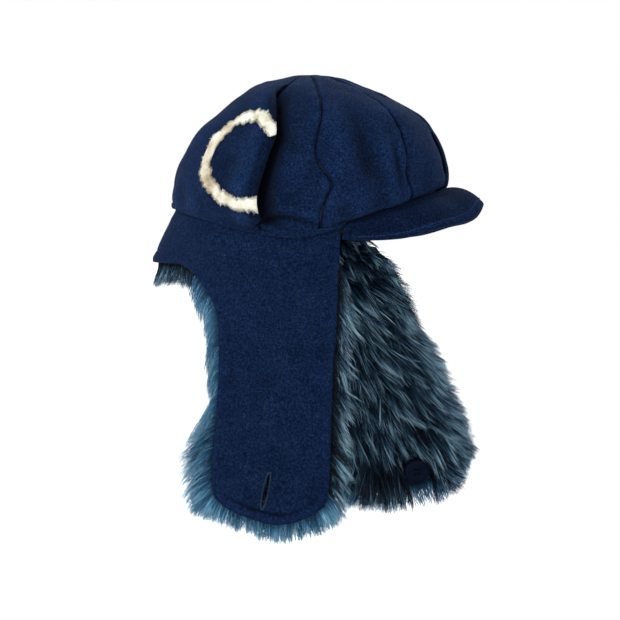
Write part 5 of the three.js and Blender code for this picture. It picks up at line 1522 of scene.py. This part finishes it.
def button():
    # profile from the back's middle out round the rim to the face's middle; y runs from the back (0) to the face (3.4)
    prof = np.array([(0.001, 0.15), (6, 0.1), (9.2, 0.25), (10.4, 0.65), (10.95, 1.3), (11.0, 2.0), (10.75, 2.75), (10.2, 3.2), (9.5, 3.38), (8.8, 3.3), (8.2, 3.0), (7.6, 2.72), (6.8, 2.6), (4.0, 2.52), (0.001, 2.5)])
    P = catmull(prof, 4)[1]
    V, F = lathe(P)
    V = V.copy()
    V[:, 1] = -V[:, 1]
    V = V + np.array([87.0, 74.5, -199.0])
    tri = np.concatenate([F[:, [0, 1, 2]], F[:, [0, 2, 3]]])
    m, nt, b = new_material("button_resin_navy")
    co = nt.nodes.new("ShaderNodeTexCoord")
    n1 = node(nt, "ShaderNodeTexNoise", Scale=160.0, Detail=4.0, Distortion=0.8)
    nt.links.new(co.outputs["Object"], n1.inputs["Vector"])
    r = ramp(nt, [(0.35, (0.0004, 0.0020, 0.0075)), (0.7, (0.0012, 0.0044, 0.0140))])
    nt.links.new(n1.outputs["Fac"], r.inputs["Fac"])
    nt.links.new(r.outputs["Color"], b.inputs["Base Color"])
    n2 = node(nt, "ShaderNodeTexNoise", Scale=900.0, Detail=3.0)
    nt.links.new(co.outputs["Object"], n2.inputs["Vector"])
    bm = node(nt, "ShaderNodeBump", Strength=0.15, Distance=0.0003)
    nt.links.new(n2.outputs["Fac"], bm.inputs["Height"])
    nt.links.new(bm.outputs["Normal"], b.inputs["Normal"])
    b.inputs["Roughness"].default_value = 0.8
    b.inputs["Specular IOR Level"].default_value = 0.05
    ob = mesh_object("button_disc", V, tri[:, ::-1] if volume_sign3(V, tri) < 0 else tri, m)
    import bmesh
    me = bpy.data.meshes.new("holes")
    bm_ = bmesh.new()
    for dx, dz in ((1.9, 1.9), (1.9, -1.9), (-1.9, 1.9), (-1.9, -1.9)):
        mat = Matrix.Translation(Vector(((87 + dx) * MM, 73 * MM, (-199 + dz) * MM))) @ Matrix.Rotation(math.pi / 2, 4, "X")
        bmesh.ops.create_cone(bm_, cap_ends=True, segments=20, radius1=0.95 * MM, radius2=0.95 * MM, depth=14 * MM, matrix=mat)
    bm_.to_mesh(me)
    bm_.free()
    cutter = bpy.data.objects.new("holes", me)
    bpy.context.scene.collection.objects.link(cutter)
    boolean_cut(ob, cutter)
    ob.data.polygons.foreach_set("use_smooth", np.ones(len(ob.data.polygons), bool))
    soften(ob, 35)
    if not ob.data.materials:
        ob.data.materials.append(m)
    place(ob, "button", ["button"])
    # thread over the face through the holes
    g = Gather()
    y = 74.5 - 2.5
    for dz in (1.9, -1.9):
        for k in (-0.42, 0.0, 0.42):
            pts = np.array([(-1.9, 2.2), (-1.85, 0.3), (-1.3, -0.45), (0, -0.62), (1.3, -0.45), (1.85, 0.3), (1.9, 2.2)])
            line = np.stack([87 + pts[:, 0] + 0.1 * k, y + pts[:, 1] - (0.12 if k == 0 else 0), -199 + dz + k + 0 * pts[:, 0]], -1)
            tv, tf = tube(catmull(line, 4)[1], 0.26, 6)
            g.add(tv, tf)
    place(g.object("button_sewing", THREAD_DARK), "button")
    # the shank: threads wound together from the cloth to the button
    g = Gather()
    rng = np.random.default_rng(831)
    for k in range(9):
        a0 = k * 2 * math.pi / 9
        s = np.linspace(0, 1, 12)
        r = lerp(2.1, 0.9, s)
        ang = a0 + 1.4 * s
        line = np.stack([87 + r * np.cos(ang), lerp(83.0, 76.1, s), -199 + r * np.sin(ang)], -1)
        tv, tf = tube(line, 0.45, 6)
        g.add(tv, tf)
    place(g.object("button_shank_thread", THREAD), "left_flap", ["button_shank"])

def volume_sign3(V, T):
    a, b, c = (V[T[:, k]] for k in range(3))
    return np.einsum("ij,ij->i", a, np.cross(b, c)).sum()
button()

# ------------------------------------------------------------------ the flaps' and neck's stored sizes, read back and not used further
for nm in ("right", "left"):
    ob, area, w, h = FLAT[nm]
for nm in ("neck_right", "neck_left"):
    ob, area, w, h = FLAT[nm]

# ------------------------------------------------------------------ floor, light, camera
floor_me = bpy.data.meshes.new("floor")
floor_me.from_pydata([(-30, -30, -0.42), (30, -30, -0.42), (30, 30, -0.42), (-30, 30, -0.42)], [], [(0, 1, 2, 3)])
floor = bpy.data.objects.new("floor", floor_me)
bpy.context.scene.collection.objects.link(floor)
fm, fnt, fb = new_material("floor_pale")
fb.inputs["Base Color"].default_value = (0.95, 0.95, 0.95, 1)
fb.inputs["Emission Color"].default_value = (1, 1, 1, 1)
fb.inputs["Emission Strength"].default_value = 0.35
fb.inputs["Roughness"].default_value = 0.9
fb.inputs["Specular IOR Level"].default_value = 0.0
floor_me.materials.append(fm)

world = bpy.data.worlds.new("studio")
bpy.context.scene.world = world
world.use_nodes = True
world.node_tree.nodes["Background"].inputs["Color"].default_value = (1, 1, 1, 1)
world.node_tree.nodes["Background"].inputs["Strength"].default_value = 1.0
bpy.context.scene.view_settings.view_transform = "Standard"
bpy.context.scene.view_settings.look = "None"

def area_light(name, loc, target, size, power, color=(1, 1, 1)):
    l = bpy.data.lights.new(name, "AREA")
    l.shape = "RECTANGLE"
    l.size, l.size_y = size, size * 0.8
    l.energy = power
    l.color = color
    o = bpy.data.objects.new(name, l)
    o.location = loc
    o.rotation_euler = (Vector(target) - Vector(loc)).to_track_quat("-Z", "Y").to_euler()
    bpy.context.scene.collection.objects.link(o)
    return o
area_light("key", (-1.35, -1.55, 1.55), (0, 0, -0.03), 0.7, 62.0)
area_light("fill", (1.7, -1.5, 0.6), (0, 0, -0.05), 1.2, 14.0)
area_light("back", (0.2, 1.8, 1.2), (0, 0, 0), 1.0, 18.0)

az, el, dist = math.radians(6), math.radians(2), 2.5
T = Vector((0.004, 0.0, -0.060))
cam_data = bpy.data.cameras.new("camera")
cam = bpy.data.objects.new("camera", cam_data)
bpy.context.scene.collection.objects.link(cam)
cam.location = T + dist * Vector((math.sin(az) * math.cos(el), -math.cos(az) * math.cos(el), math.sin(el)))
cam.rotation_euler = (T - cam.location).to_track_quat("-Z", "Y").to_euler()
cam_data.sensor_width = 36.0
cam_data.lens = 36.0 * 2500 / (620 * 0.82)
cam_data.clip_end = 100
bpy.context.scene.camera = cam
